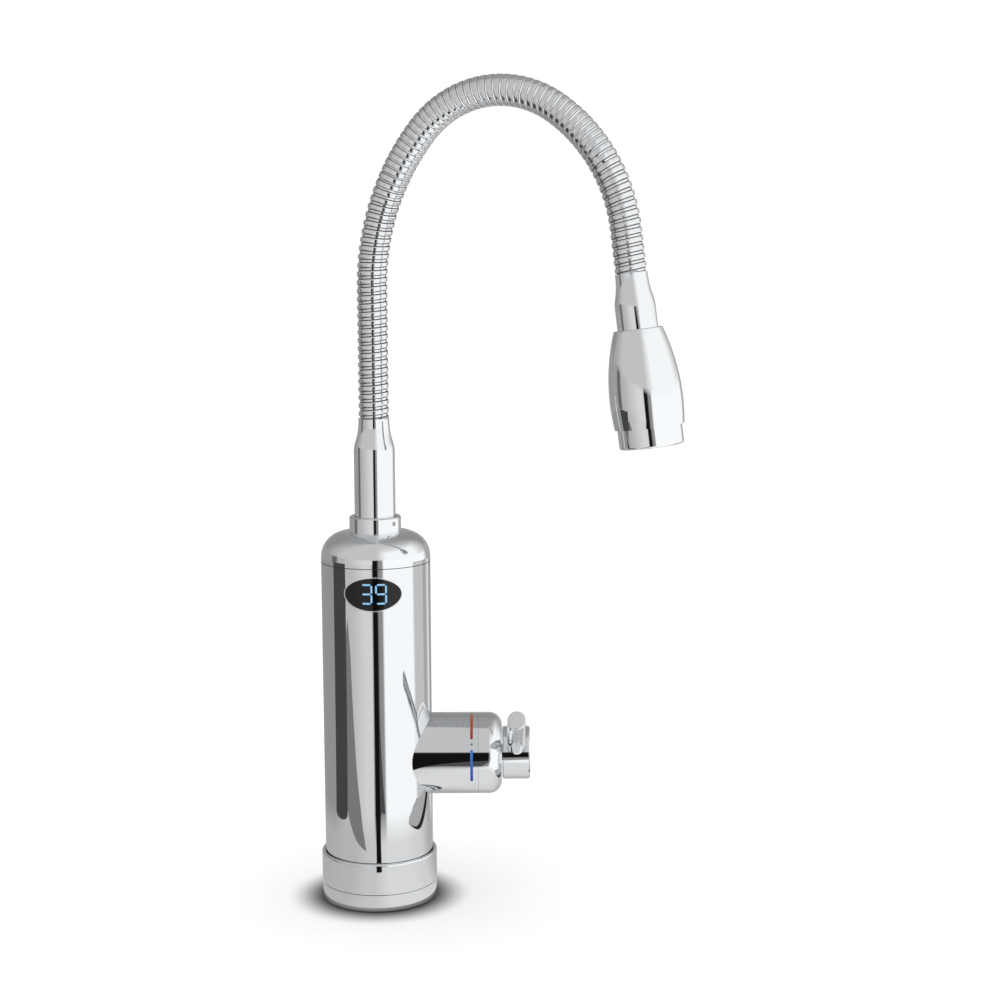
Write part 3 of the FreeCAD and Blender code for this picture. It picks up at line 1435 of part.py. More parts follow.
def all_pieces():
    """Every sub-part of the tap, from the foot to the spray head."""
    return [
        foot_gasket(),
        base_ring(),
        base_skirt(),
        screws("base_screws", BASE_SCREWS, SCREW_RING_D, BASE_SCREW_FIRST, SCREW_SEAT),
        cable_gland(),
        body_shell(),
        top_cap(),
        display_lens(),
        display_module(),
        display_board(),
        water_block(),
        inlet_socket(),
        inlet_filter(),
        reed_switch(),
        flow_piston(),
        flange_gasket(),
        element_flange(),
        screws(
            "flange_screws", FLANGE_SCREWS, FLANGE_RING_D, FLANGE_SCREW_FIRST, FLANGE_TOP, UPSIDE_DOWN
        ),
        heating_element(),
        heater_tank(),
        tank_lid(),
        temp_probe(),
        thermal_cutout(),
        outlet_nipple(),
        nipple_seals(),
        spout_collar(),
        collar_screw(),
        cartridge_body(),
        cartridge_seal(),
        fixed_disc(),
        turning_disc(),
        valve_spindle(),
        spindle_seal(),
        gland_nut(),
        bonnet(),
        handle_hub(),
        lever_rod(),
        spout_shank(),
        inner_tube(),
        *gooseneck_hose(),
        head_neck(),
        head_shell(),
        head_core(),
        head_washer(),
        ring_clip(),
        face_ring(),
        nozzle_plate(),
        nozzle_tips(),
        aerator(),
    ]


def check(pieces):
    """Stops the build if any object failed, any cut removed nothing or any shape is bad."""
    for thing in doc.Objects:
        if {"Invalid", "Error"} & set(thing.State):
            raise RuntimeError(f"{thing.Label} failed: {thing.State}")
        if thing.TypeId == "PartDesign::Pocket":
            if thing.Shape.Volume > thing.BaseFeature.Shape.Volume - LEAST_VOLUME:
                raise RuntimeError(f"a bore in {thing.getParentGeoFeatureGroup().Label} cuts nothing")
    for piece in pieces:
        if piece.Shape.isNull() or not piece.Shape.isValid() or piece.Shape.Volume <= 0:
            raise RuntimeError(f"{piece.Label} has no valid shape")


pieces = all_pieces()
doc.recompute()
check(pieces)
os.makedirs("parts", exist_ok=True)
for piece in pieces:
    piece.Shape.exportStep(f"parts/{piece.Label}.step")
print(f"{len(pieces)} sub-parts written")
point, along = HEAD.Base, HEAD.Rotation.multVec(Vector(0, 0, 1))
print("spray head starts at", *(round(c, 4) for c in point), "and points along", *along)
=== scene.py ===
# %% [markdown]
# # An instant hot water tap
# The tap is a chrome body with a heater inside, a small display, a valve with a peg lever on its
# right, and a spray head on a flexible gooseneck. The engineering model already holds every piece
# with a real size. This lesson gives the pieces their finishes, winds the gooseneck's metal hose,
# prints the marks on the valve, lights the display and sets up a small photo studio.
# Everything is in metres: Z is up, X runs along the valve, and the display faces minus Y.

import json
import math

import bmesh
import bpy
from mathutils import Matrix, Vector


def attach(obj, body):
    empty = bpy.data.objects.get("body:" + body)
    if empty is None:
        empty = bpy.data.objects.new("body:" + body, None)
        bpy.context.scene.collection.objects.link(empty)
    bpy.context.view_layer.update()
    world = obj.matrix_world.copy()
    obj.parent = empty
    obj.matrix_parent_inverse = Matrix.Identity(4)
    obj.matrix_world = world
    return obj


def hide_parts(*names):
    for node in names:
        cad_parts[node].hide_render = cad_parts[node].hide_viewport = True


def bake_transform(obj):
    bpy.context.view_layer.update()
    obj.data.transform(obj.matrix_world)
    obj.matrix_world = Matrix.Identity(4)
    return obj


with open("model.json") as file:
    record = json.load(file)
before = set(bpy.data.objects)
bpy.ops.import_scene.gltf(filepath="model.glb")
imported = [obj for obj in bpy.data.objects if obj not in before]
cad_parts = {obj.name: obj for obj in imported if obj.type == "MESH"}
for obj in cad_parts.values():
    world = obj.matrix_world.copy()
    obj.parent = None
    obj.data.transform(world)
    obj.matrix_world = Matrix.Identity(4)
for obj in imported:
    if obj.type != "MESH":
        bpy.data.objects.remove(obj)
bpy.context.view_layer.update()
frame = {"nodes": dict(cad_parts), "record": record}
MM = 0.001

# %% [markdown]
# ## The camera
# A pack shot is taken with a long lens from a little above the tap, so that its upright lines stay
# nearly parallel. The lens could be guessed by eye. Here its place was worked out from the foot,
# the display, the valve and the spray head, whose sizes are known, so the angle is the picture's.

# %% Camera at the picture's angle
IMAGE_SIDE = 1000
LENS_PIXELS = 1936
camera = bpy.data.objects.new("camera", bpy.data.cameras.new("camera"))
camera.data.sensor_width = 36
camera.data.lens = LENS_PIXELS / IMAGE_SIDE * camera.data.sensor_width
camera.location = (0.0685, -1.050, 0.3726)
LOOK_DOWN, ROLL = 0.141, -0.0045
turn = Matrix.Rotation(math.pi / 2 - LOOK_DOWN, 3, "X") @ Matrix.Rotation(ROLL, 3, "Z")
camera.rotation_euler = turn.to_euler()
camera.data.clip_start, camera.data.clip_end = 0.01, 50
bpy.context.scene.collection.objects.link(camera)
bpy.context.scene.camera = camera
bpy.context.scene.view_settings.view_transform = "Standard"
print(f"lens {camera.data.lens:.1f} mm, {abs(camera.location.y):.2f} m in front of the tap")

# %% [markdown]
# ## Colours and shader nodes
# Colours are picked on a screen as hex numbers, but light adds up on a linear scale, so one function
# turns the first into the second. A second small function adds a shader node: what goes to a socket
# is either a value or another node's output. A mix node has several sockets of the same name, one
# for each kind of value, so those for colours are told by their numbers.

# %% Two helpers for every material
MIX_SHARE, MIX_FIRST, MIX_SECOND, MIX_RESULT = 0, 6, 7, 2


def linear(colour):
    """An sRGB hex colour as linear red, green, blue and alpha."""
    channels = [int(colour[i : i + 2], 16) / 255 for i in (1, 3, 5)]
    return [c / 12.92 if c <= 0.04045 else ((c + 0.055) / 1.055) ** 2.4 for c in channels] + [1.0]


def add_node(tree, kind, sockets=None, **settings):
    """Adds a node, sets it up, and fills or links its sockets."""
    made = tree.nodes.new(kind)
    for name, value in settings.items():
        setattr(made, name, value)
    for name, value in (sockets or {}).items():
        if isinstance(value, bpy.types.NodeSocket):
            tree.links.new(value, made.inputs[name])
        else:
            made.inputs[name].default_value = value
    return made


print("white is", linear("#FFFFFF"))

# %% [markdown]
# ## The studio
# Polished chrome has no colour of its own: it shows the room. A photographer builds that room from
# white paper, grey card and black flags, and moves them until the metal has a light side, a dark
# side and crisp lines between. The same is done here with a round tent that only the chrome sees, so
# the floor and the background stay plain and pale. Each card could be a mesh of its own. A colour
# ramp round the tap's axis is shorter and gives soft edges: it holds the cards by their bearing,
# counted in degrees from the camera's side towards the right.

# %% Cards by bearing
# chrome gives back about three quarters of the light, so the cards are lit by a third more
TENT_POWER = 1.3
BLACK_FLAG = (-3, 6, "#121212")
FLAG_EDGE = (9, 16, "#888888")
# table close to the foot, table further off, wall, upper wall, ceiling
FOOT_CARDS = (
    (-180, -150, "#A0A0A0"), (-60, -45, "#B0B0B0"), (-15, -5, "#C0C0C0"), (18, 60, "#D4D4D4"),
    (80, 90, "#CCCCCC"), (125, 180, "#A4A4A4"),
)
TABLE_CARDS = (
    (-180, -98, "#8C8C8C"), (-67, -50, "#B4B4B4"), (-20, -6, "#CCCCCC"), BLACK_FLAG, FLAG_EDGE,
    (20, 84, "#F4F4F4"), (90, 116, "#BCBCBC"), (120, 131, "#A0A0A0"), (137, 145, "#D0D0D0"),
    (150, 180, "#949494"),
)
WALL_CARDS = (
    (-180, -101, "#949494"), (-97, -87, "#606060"), (-80, -70, "#ACACAC"), (-20, -5, "#D0D0D0"),
    BLACK_FLAG, FLAG_EDGE, (19, 122, "#F4F4F4"), (136, 180, "#A0A0A0"),
)
UPPER_CARDS = (
    (-180, -130, "#888888"), (-75, 5, "#BCBCBC"), (28, 100, "#F0F0F0"), (150, 180, "#888888"),
)
CEILING_CARDS = ((-180, -120, "#949494"), (-60, 60, "#BCBCBC"), (120, 180, "#949494"))


def card_colours(tree, where, cards):
    """The colour of a ring of cards at each point's bearing from the tap's axis."""
    axes = add_node(tree, "ShaderNodeSeparateXYZ", {"Vector": where}).outputs
    front = add_node(tree, "ShaderNodeMath", {0: axes["Y"], 1: -1.0}, operation="MULTIPLY").outputs[0]
    angle = add_node(tree, "ShaderNodeMath", {0: axes["X"], 1: front}, operation="ARCTAN2").outputs[0]
    share = add_node(
        tree, "ShaderNodeMapRange", {"Value": angle, "From Min": -math.pi, "From Max": math.pi}
    )
    ramp = add_node(tree, "ShaderNodeValToRGB", {"Fac": share.outputs["Result"]})
    stops = ramp.color_ramp.elements
    while len(stops) < 2 * len(cards):
        stops.new(0.5)
    edges = [(bearing, colour) for first, last, colour in cards for bearing in (first, last)]
    for stop, (bearing, colour) in zip(stops, edges):
        stop.position, stop.color = bearing / 360 + 0.5, linear(colour)
    return ramp.outputs["Color"]


def tent_material(name, axis, cards, *layers):
    """Light from a ring of cards, which passes to each further ring between two distances along an
    axis: the radius on the table, the height on the wall."""
    made = bpy.data.materials.new(name)
    made.use_nodes = True
    tree = made.node_tree
    tree.nodes.clear()
    where = add_node(tree, "ShaderNodeTexCoord").outputs["Object"]
    if axis == "radius":
        reach = add_node(tree, "ShaderNodeVectorMath", {0: where}, operation="LENGTH").outputs["Value"]
    else:
        reach = add_node(tree, "ShaderNodeSeparateXYZ", {"Vector": where}).outputs["Z"]
    light = card_colours(tree, where, cards)
    for further, low, high in layers:
        share = add_node(
            tree, "ShaderNodeMapRange", {"Value": reach, "From Min": low, "From Max": high}
        )
        both = {MIX_FIRST: light, MIX_SECOND: card_colours(tree, where, further)}
        both[MIX_SHARE] = share.outputs["Result"]
        light = add_node(tree, "ShaderNodeMix", both, data_type="RGBA").outputs[MIX_RESULT]
    glow = add_node(tree, "ShaderNodeEmission", {"Color": light, "Strength": TENT_POWER})
    add_node(tree, "ShaderNodeOutputMaterial", {"Surface": glow.outputs[0]})
    return made


print(len(TABLE_CARDS), "cards on the table and", len(WALL_CARDS), "on the wall")

# %% [markdown]
# The tent itself is a mesh of rings round the tap's axis: a table and a domed wall. A sphere would be
# quicker, but the chrome shows where a table ends and a wall begins. Nothing but a reflection sees
# the tent: it throws no shadow, and the camera looks through it.

# %% Tent
TENT_RADIUS, TABLE_HOLE, TABLE_Z, TENT_STEPS = 1.2, 0.034, 0.002, 96
# where one ring of cards passes to the next: by radius on the table, by height on the wall
FOOT_TO_TABLE, WALL_TO_UPPER, UPPER_TO_CEILING = (0.14, 0.2), (0.36, 0.44), (1.0, 1.35)


def only_in_chrome(name, mesh, material):
    """A stage piece that nothing but a reflection shows."""
    data = bpy.data.meshes.new(name)
    mesh.to_mesh(data)
    mesh.free()
    data.materials.append(material)
    made = bpy.data.objects.new(name, data)
    bpy.context.scene.collection.objects.link(made)
    made.visible_camera = made.visible_diffuse = made.visible_shadow = False
    made.visible_transmission = False


def tent_rings(name, rings, material):
    """A surface of revolution through (radius, height) rings, in metres."""
    mesh = bmesh.new()
    angles = [2 * math.pi * step / TENT_STEPS for step in range(TENT_STEPS)]
    circles = [
        [mesh.verts.new((radius * math.sin(a), -radius * math.cos(a), height)) for a in angles]
        for radius, height in rings
    ]
    for lower, upper in zip(circles, circles[1:]):
        for step in range(TENT_STEPS):
            after = (step + 1) % TENT_STEPS
            mesh.faces.new((lower[step], lower[after], upper[after], upper[step]))
    only_in_chrome(name, mesh, material)


table = tent_material("table", "radius", FOOT_CARDS, (TABLE_CARDS, *FOOT_TO_TABLE))
table_edge = (TENT_RADIUS, TABLE_Z)
tent_rings("table", ((TABLE_HOLE, TABLE_Z), table_edge), table)
dome = (table_edge, (TENT_RADIUS, 0.6), (1.1, 0.9), (0.8, 1.2), (0.4, 1.36), (0.002, 1.4))
upper_layers = ((UPPER_CARDS, *WALL_TO_UPPER), (CEILING_CARDS, *UPPER_TO_CEILING))
wall = tent_material("tent wall", "height", WALL_CARDS, *upper_layers)
tent_rings("tent_wall", dome, wall)
print("tent", 2 * TENT_RADIUS, "m wide")

# %% [markdown]
# A ring of cards can't show where a card ends. Cards whose ends show in the chrome therefore lie on
# the table as flat pieces. The black flag comes closest to the foot, and a dark card beside it makes
# the band along the valve. On the left lie a dark strip with a round end and a grey card, and on the
# right a grey card with a dark edge, which shows below the valve.

# %% Cards on the table
CARD_Z, UPPER_CARD_Z = 0.003, 0.004


def flag(name, corners, colour, height=CARD_Z):
    """A flat card just above the table by its corners, in metres."""
    mesh = bmesh.new()
    mesh.faces.new([mesh.verts.new((x, y, height)) for x, y in corners])
    only_in_chrome(name, mesh, tent_material(name, "radius", ((-180, 180, colour),)))


black_flag = ((-0.003, -0.09), (0.011, -0.09), (0.022, -0.21), (-0.010, -0.21))
flag("black_flag", black_flag, "#121212")
valve_card = ((0.021, -0.20), (0.056, -0.19), (0.059, -0.30), (0.058, -0.55))
flag("valve_card", valve_card, "#484848")
left_card = (
    (-0.70, -0.415), (-0.52, -0.39), (-0.27, -0.265), (-0.115, -0.175), (-0.06, -0.13),
    (-0.045, -0.115), (-0.095, -0.105), (-0.19, -0.09), (-0.63, -0.25),
)
flag("left_card", left_card, "#747474")
# the strip by (bearing, distance), with a half oval for its near end
STRIP_BEARING, STRIP_HALF, STRIP_NEAR, STRIP_ROUND, STRIP_STEPS = -77.5, 15.5, 0.185, 0.014, 12
STRIP_FAR_CORNERS = [(-63.5, 1.19), (-96, 1.19)]
half_turn = [math.pi * step / STRIP_STEPS for step in range(STRIP_STEPS + 1)]
strip_end = [
    (STRIP_BEARING - STRIP_HALF * math.cos(a), STRIP_NEAR - STRIP_ROUND * math.sin(a))
    for a in half_turn
]
strip_outline = [(math.radians(b), r) for b, r in strip_end + STRIP_FAR_CORNERS]
left_strip = [(r * math.sin(b), -r * math.cos(b)) for b, r in strip_outline]
flag("left_strip", left_strip, "#404040", UPPER_CARD_Z)
right_card = (
    (0.15, -0.075), (0.165, -0.075), (0.195, -0.05), (0.215, -0.02), (0.215, 0.08), (0.175, 0.12),
    (0.16, 0.065), (0.147, 0.015), (0.15, -0.03),
)
flag("right_card", right_card, "#A4A4A4")
right_edge = (
    (0.15, -0.065), (0.145, -0.01), (0.147, 0.015), (0.16, 0.065), (0.175, 0.12), (0.20, 0.11),
    (0.183, 0.065), (0.17, 0.03), (0.157, 0.0), (0.152, -0.02),
)
flag("right_edge", right_edge, "#282828", UPPER_CARD_Z)
print("cards", CARD_Z / MM, "and", UPPER_CARD_Z / MM, "mm above the floor")

# %% [markdown]
# ## Floor and light
# The table is matt white paper under an even white sky, so that only the shade at the foot is left.
# Shade gathers where the tap's rubber foot meets the paper: the light that would reach that wedge
# comes from the side, and the foot stands in its way. That shade is painted into the paper's colour,
# darker towards the foot, over about two centimetres.

# %% Pale floor with painted shade at the foot
FLOOR_SIDE, FOOT_R, SHADE_INSET, SHADE_REACH = 12.0, 0.0319, 0.004, 0.021
floor_mesh = bmesh.new()
bmesh.ops.create_grid(floor_mesh, x_segments=2, y_segments=2, size=FLOOR_SIDE / 2)
floor_data = bpy.data.meshes.new("floor")
floor_mesh.to_mesh(floor_data)
floor_mesh.free()
floor = bpy.data.objects.new("floor", floor_data)
bpy.context.scene.collection.objects.link(floor)
# matt white paper: no gloss to speak of; near the foot its colour holds a painted shade
paper = bpy.data.materials.new("matt white paper")
paper.use_nodes = True
tree = paper.node_tree
shader = tree.nodes["Principled BSDF"]
shader.inputs["Roughness"].default_value = 0.9
shader.inputs["Specular IOR Level"].default_value = 0.0
where = add_node(tree, "ShaderNodeTexCoord").outputs["Object"]
distance = add_node(tree, "ShaderNodeVectorMath", {0: where}, operation="LENGTH").outputs["Value"]
# painted shade: how far a point lies from the foot, from just inside its edge to two centimetres out
shade = add_node(
    tree,
    "ShaderNodeMapRange",
    {"Value": distance, "From Min": FOOT_R - SHADE_INSET, "From Max": FOOT_R + SHADE_REACH},
    interpolation_type="SMOOTHSTEP",
)
# the paper's colour with painted shade: dark grey at the foot, white further off
white = add_node(
    tree,
    "ShaderNodeMix",
    {
        MIX_SHARE: shade.outputs["Result"],
        MIX_FIRST: linear("#404040"),
        MIX_SECOND: linear("#FEFEFE"),
    },
    data_type="RGBA",
)
tree.links.new(white.outputs[MIX_RESULT], shader.inputs["Base Color"])
floor_data.materials.append(paper)
print("floor", FLOOR_SIDE, "m wide")

# %% [markdown]
# An overcast sky lights every side alike. A studio's top light adds a little more to what faces up,
# so one wide soft light hangs above the tap. The chrome doesn't show it.

# %% White sky
SKY_POWER, LIGHT_POWER, LIGHT_SPREAD, LIGHT_TILT = 1.02, 0.25, 120, (12, 6, 0)
world = bpy.data.worlds.new("white studio")
bpy.context.scene.world = world
world.use_nodes = True
world.node_tree.nodes["Background"].inputs["Color"].default_value = linear("#FFFFFF")
world.node_tree.nodes["Background"].inputs["Strength"].default_value = SKY_POWER

sky = bpy.data.objects.new("soft_top_light", bpy.data.lights.new("soft_top_light", "SUN"))
sky.data.angle, sky.data.energy = math.radians(LIGHT_SPREAD), LIGHT_POWER
sky.rotation_euler = [math.radians(tilt) for tilt in LIGHT_TILT]
sky.visible_glossy = False
bpy.context.scene.collection.objects.link(sky)
print("sky", SKY_POWER, "and one soft light of", LIGHT_POWER)

# %% [markdown]
# ## Chrome
# Nearly all that is seen is chrome: a few tenths of a micrometre of it over nickel, on brass and
# steel for the body and on moulded ABS for the cap, the bonnet and the spray head. Buffing leaves
# it almost mirror smooth. A mirror shader alone would look like a drawing, so the roughness drifts a
# little over some centimetres, as a hand-buffed face does, and the surface has the faint long waves
# of polishing. Plated ABS is wavier, because the moulding shrinks.

# %% Plated finishes
# noise runs from 0 to 1, but nearly all of it lies between these
NOISE_LOW, NOISE_HIGH = 0.3, 0.7


def surface(
    name, colour, metallic, roughness, drift=0.0, drift_mm=30, bump_mm=None, height_mm=0.0, **more
):
    """A Principled material whose roughness drifts by noise and whose face has fine waves.
    Sizes of the noise are the real sizes of the marks, in millimetres."""
    made = bpy.data.materials.new(name)
    made.use_nodes = True
    tree = made.node_tree
    shader = tree.nodes["Principled BSDF"]
    shader.inputs["Base Color"].default_value = linear(colour)
    shader.inputs["Metallic"].default_value = metallic
    shader.inputs["Roughness"].default_value = roughness
    for socket, value in more.items():
        shader.inputs[socket.replace("_", " ")].default_value = value
    where = add_node(tree, "ShaderNodeTexCoord").outputs["Object"]
    if drift:
        cloud = add_node(
            tree,
            "ShaderNodeTexNoise",
            {"Vector": where, "Scale": 1 / (drift_mm * MM), "Detail": 3.0},
        )
        spread = add_node(
            tree,
            "ShaderNodeMapRange",
            {
                "Value": cloud.outputs["Fac"],
                "From Min": NOISE_LOW,
                "From Max": NOISE_HIGH,
                "To Min": max(roughness - drift, 0.0),
                "To Max": roughness + drift,
            },
        )
        tree.links.new(spread.outputs["Result"], shader.inputs["Roughness"])
    if bump_mm:
        waves = add_node(
            tree,
            "ShaderNodeTexNoise",
            {"Vector": where, "Scale": 1 / (bump_mm * MM), "Detail": 2.0},
        )
        bump = add_node(
            tree,
            "ShaderNodeBump",
            {"Height": waves.outputs["Fac"], "Strength": 1.0, "Distance": height_mm * MM},
        )
        tree.links.new(bump.outputs["Normal"], shader.inputs["Normal"])
    return made


finishes = {
    # buffed chrome plate on metal: a cool mirror with almost no haze
    "chrome_metal": surface(
        "buffed chrome plate on brass", "#E4E6E8", 1.0, 0.018, 0.012, 35, bump_mm=28, height_mm=0.012
    ),
    # the same plate on wound steel strip: finer, a little hazier
    "chrome_hose": surface(
        "chrome plate on wound steel strip", "#E0E2E4", 1.0, 0.035, 0.02, 9, bump_mm=4, height_mm=0.002
    ),
    # chrome plate on moulded ABS: as bright, but with closer waves, where the moulding shrank
    "chrome_plastic": surface(
        "chrome plate on moulded ABS", "#E6E8EA", 1.0, 0.018, 0.012, 25, bump_mm=18, height_mm=0.012
    ),
}
print("plated finishes:", ", ".join(finishes))

# %% [markdown]
# ## The other finishes
# Inside and below the tap are stainless steel, brass, rubber, ceramic and plastics. They show when
# the tap is taken apart or seen from below. Each starts from the usual values of its kind: plastics
# and rubber reflect about four percent of the light that falls on them, and metals colour it.

# %% Steel, brass, rubber, ceramic and plastics
finishes.update(
    {
        # smoked acrylic over the display: deep black, its gloss held down by an anti-glare coat
        "lens_black": surface(
            "smoked acrylic", "#0B0B0D", 0.0, 0.05, 0.02, 8, IOR=1.49, Specular_IOR_Level=0.35
        ),
        # drawn stainless steel: greyer than chrome, with a soft brushed sheen
        "steel": surface(
            "drawn stainless steel", "#B9B8B4", 1.0, 0.30, 0.08, 6, bump_mm=0.5, height_mm=0.002
        ),
        # turned brass: warm yellow, fine turning marks
        "brass": surface("turned brass", "#C9A45A", 1.0, 0.24, 0.06, 5, bump_mm=0.4, height_mm=0.003),
        # moulded rubber: black, dull, slightly dusty
        "rubber_black": surface(
            "moulded black rubber", "#1B1B1B", 0.0, 0.75, 0.1, 4, bump_mm=0.6, height_mm=0.02, IOR=1.52
        ),
        # moulded silicone: soft grey, dull
        "silicone_grey": surface(
            "moulded grey silicone", "#8E9092", 0.0, 0.55, 0.08, 3,
            bump_mm=0.5, height_mm=0.01, IOR=1.41,
        ),
        # glass-filled nylon: off-white, faintly mottled where the fibres reach the face
        "polymer_white": surface(
            "glass-filled nylon", "#DAD8CE", 0.0, 0.50, 0.1, 3, bump_mm=0.8, height_mm=0.02, IOR=1.53
        ),
        # moulded black ABS: satin from a lightly eroded mould
        "polymer_black": surface(
            "satin black ABS", "#1D1D1F", 0.0, 0.42, 0.08, 4, bump_mm=0.5, height_mm=0.015, IOR=1.54
        ),
        # moulded grey ABS of the spray face
        "polymer_grey": surface(
            "satin grey ABS", "#A7A9AB", 0.0, 0.36, 0.06, 4, bump_mm=0.5, height_mm=0.01, IOR=1.54
        ),
        # solder mask on a glass-fibre board: green lacquer with the weave below it
        "board_green": surface(
            "green solder mask", "#1E5B34", 0.0, 0.35, 0.08, 2, bump_mm=0.7, height_mm=0.015, IOR=1.55
        ),
        # lapped alumina: white and dense, smooth enough to seal by itself
        "ceramic": surface("lapped alumina", "#EDEAE2", 0.0, 0.22, 0.05, 3, IOR=1.77),
    }
)
slot_of = {entry["node"]: entry["material_slot"] for entry in frame["record"]["subparts"]}
for node, piece in frame["nodes"].items():
    piece.data.materials.clear()
    piece.data.materials.append(finishes[slot_of[node]])
print(len(slot_of), "pieces finished from", len(finishes), "materials")

# %% [markdown]
# ## The line of the gooseneck
# The hose is stiff enough to stay where it is bent. From the shank it runs straight up, bends
# gently, turns over in a tighter crown and comes down to the spray head. That line could be drawn as
# a free curve. It is made of the same runs and bends as in the engineering model, because the ribs,
# the ferrules and the four places where the model flexes have to meet.

# %% Centreline of the hose
HOSE_FOOT_Z = 268.9
BEARING = math.radians(21)
OUTWARD = Vector((math.cos(BEARING), -math.sin(BEARING), 0))
SIDEWAYS = Vector((0, 0, 1)).cross(OUTWARD)
# straight runs by their length in mm, bends by their degrees and their radius
BENDS = ((71.0, None), (40.5, 127.0), (83.8, 56.2), (48.2, 89.0), (22.5, None))
STRETCHES = [(s if r is None else math.radians(s) * r, r) for s, r in BENDS]
HOSE_LENGTH = sum(length for length, radius in STRETCHES)


def heading_vector(heading):
    """The direction at an angle from straight up, in the plane of the arch."""
    return OUTWARD * math.sin(heading) + Vector((0, 0, math.cos(heading)))


def on_hose(distance):
    """The point and the direction at a distance along the hose, in millimetres. The end runs go on."""
    point, heading = Vector((0, 0, HOSE_FOOT_Z)), 0.0
    for number, (length, radius) in enumerate(STRETCHES):
        last = number == len(STRETCHES) - 1
        step = distance if last else min(distance, length)
        if radius is None:
            point = point + heading_vector(heading) * step
        else:
            centre = point + heading_vector(heading + math.pi / 2) * radius
            heading += step / radius
            point = centre - heading_vector(heading + math.pi / 2) * radius
        distance -= step
        if distance <= 0 and not last:
            break
    return point, heading_vector(heading)


print(f"hose {HOSE_LENGTH:.1f} mm long, ends at", [round(c, 1) for c in on_hose(HOSE_LENGTH)[0]])

# %% [markdown]
# ## The wound strip
# A stripwound hose is one long steel strip, folded to an S and wound into a screw so that each turn
# hooks into the next. Outside it shows a broad raised band and a narrow sunk one, with a dark line on
# each side of the sunk band, where the folds go in. Where the hose bends tightly the turns close up,
# and the sunk band shrinks to a bright sloping line. Rings would be simpler, but the bands of a real
# hose slope a little, so the mesh follows the screw: each row of points climbs one turn in one
# circuit, and the end of a row joins the start of the row one turn on.

# %% Rows of the wound strip
BAND_R, SLEEVE_R, SLEEVE = 8.25, 6.9, 9.0
AROUND = 64
# widths of the raised band, the first line, the sunk band and the second line: open, closed
WIDTHS = ((2.55, 2.9), (0.46, 0.2), (1.05, 0.7), (0.36, 0.04))
LINE_DEPTH, EDGE_DEPTH = 0.95, 0.5
# depths of the sunk band's two sides: open, closed
SUNK_DEPTHS = ((0.6, 0.26), (0.62, 0.8))
# half of the raised band as (distance from its edge, depth)
BAND_SIDE = ((0.0, EDGE_DEPTH), (0.08, 0.22), (0.2, 0.07), (0.45, 0.008), (0.9, 0.0))
LINE_SIDE, CREASE_SIDE = 0.02, 0.3
ROWS = 2 * len(BAND_SIDE) + 2 * 2 + len(SUNK_DEPTHS)
# shares of the bends before and after the crown at which the turns close, and over how many mm
CLOSE_AT, OPEN_AT, CLOSING = 0.55, 0.45, 30.0


def tightness(distance):
    """How far the turns are closed at a distance along the hose: 0 on the runs, 1 in the crown."""
    foot, rise, crown, drop = (length for length, radius in STRETCHES[:4])
    closing = (distance - (foot + rise * CLOSE_AT)) / CLOSING
    opening = (foot + rise + crown + drop * OPEN_AT - distance) / CLOSING
    share = min(max(min(closing, opening) + 0.5, 0), 1)
    return share * share * (3 - 2 * share)


def strip_rows():
    """(distance along the hose, depth) of every row, from inside one ferrule to inside the other."""
    rows, start = [], -SLEEVE
    while start < HOSE_LENGTH + SLEEVE:
        tight = tightness(start)
        band, line, sunk, crease, near, far = (
            wide + (narrow - wide) * tight for wide, narrow in WIDTHS + SUNK_DEPTHS
        )
        rows += [(start + side, depth) for side, depth in BAND_SIDE]
        rows += [(start + band - side, depth) for side, depth in reversed(BAND_SIDE)]
        edge = start + band
        rows += [(edge + LINE_SIDE, LINE_DEPTH), (edge + line - LINE_SIDE, LINE_DEPTH)]
        edge += line
        rows += [(edge, near), (edge + sunk, far)]
        edge += sunk
        start = edge + crease
        deep = LINE_DEPTH + (far - LINE_DEPTH) * tight
        rows += [(edge + crease * CREASE_SIDE, deep), (edge + crease * (1 - CREASE_SIDE), deep)]
    return rows


strip = strip_rows()
print(len(strip) // ROWS, "turns of strip")

# %% [markdown]
# ## From points to pieces
# Every piece below is made the same way: rows of points, faces between the rows, and then one object
# with a finish, which rides on a body of the model where one is named. Blender has ready-made tubes
# and discs, but rows of points follow any curve. The first and the last point of a round row fall
# together and are joined, so the skin closes.

# %% Helpers for every piece
JOIN = 1e-7


def circuit(steps):
    """The angles of a full turn, with the first one again at its end."""
    return [2 * math.pi * step / steps for step in range(steps + 1)]


def skin(mesh, rows, second=()):
    """Faces between rows of points, with the second material after the rows named.
    Points that fall together are joined."""
    for number, (lower, upper) in enumerate(zip(rows, rows[1:])):
        for step in range(len(lower) - 1):
            face = mesh.faces.new((lower[step], lower[step + 1], upper[step + 1], upper[step]))
            face.material_index = int(number in second)
    bmesh.ops.remove_doubles(mesh, verts=mesh.verts, dist=JOIN)


def closed_skin(mesh, rows):
    """A skin between round rows, with a face over the first row and the last."""
    for row in (rows[0], rows[-1]):
        mesh.faces.new(row[:-1])
    skin(mesh, rows)


def sharpen(mesh, degrees):
    """Keeps an edge crisp where its faces meet at more than an angle."""
    bmesh.ops.recalc_face_normals(mesh, faces=mesh.faces)
    for edge in mesh.edges:
        edge.smooth = edge.calc_face_angle(0) < math.radians(degrees)


def new_piece(name, mesh, material, body=None):
    """Turns a bmesh into a smooth piece with a material, riding on a body if one is named."""
    bmesh.ops.recalc_face_normals(mesh, faces=mesh.faces)
    data = bpy.data.meshes.new(name)
    mesh.to_mesh(data)
    mesh.free()
    data.materials.append(material)
    data.polygons.foreach_set("use_smooth", [True] * len(data.polygons))
    piece = bpy.data.objects.new(name, data)
    bpy.context.scene.collection.objects.link(piece)
    if body:
        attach(piece, body)
    return piece


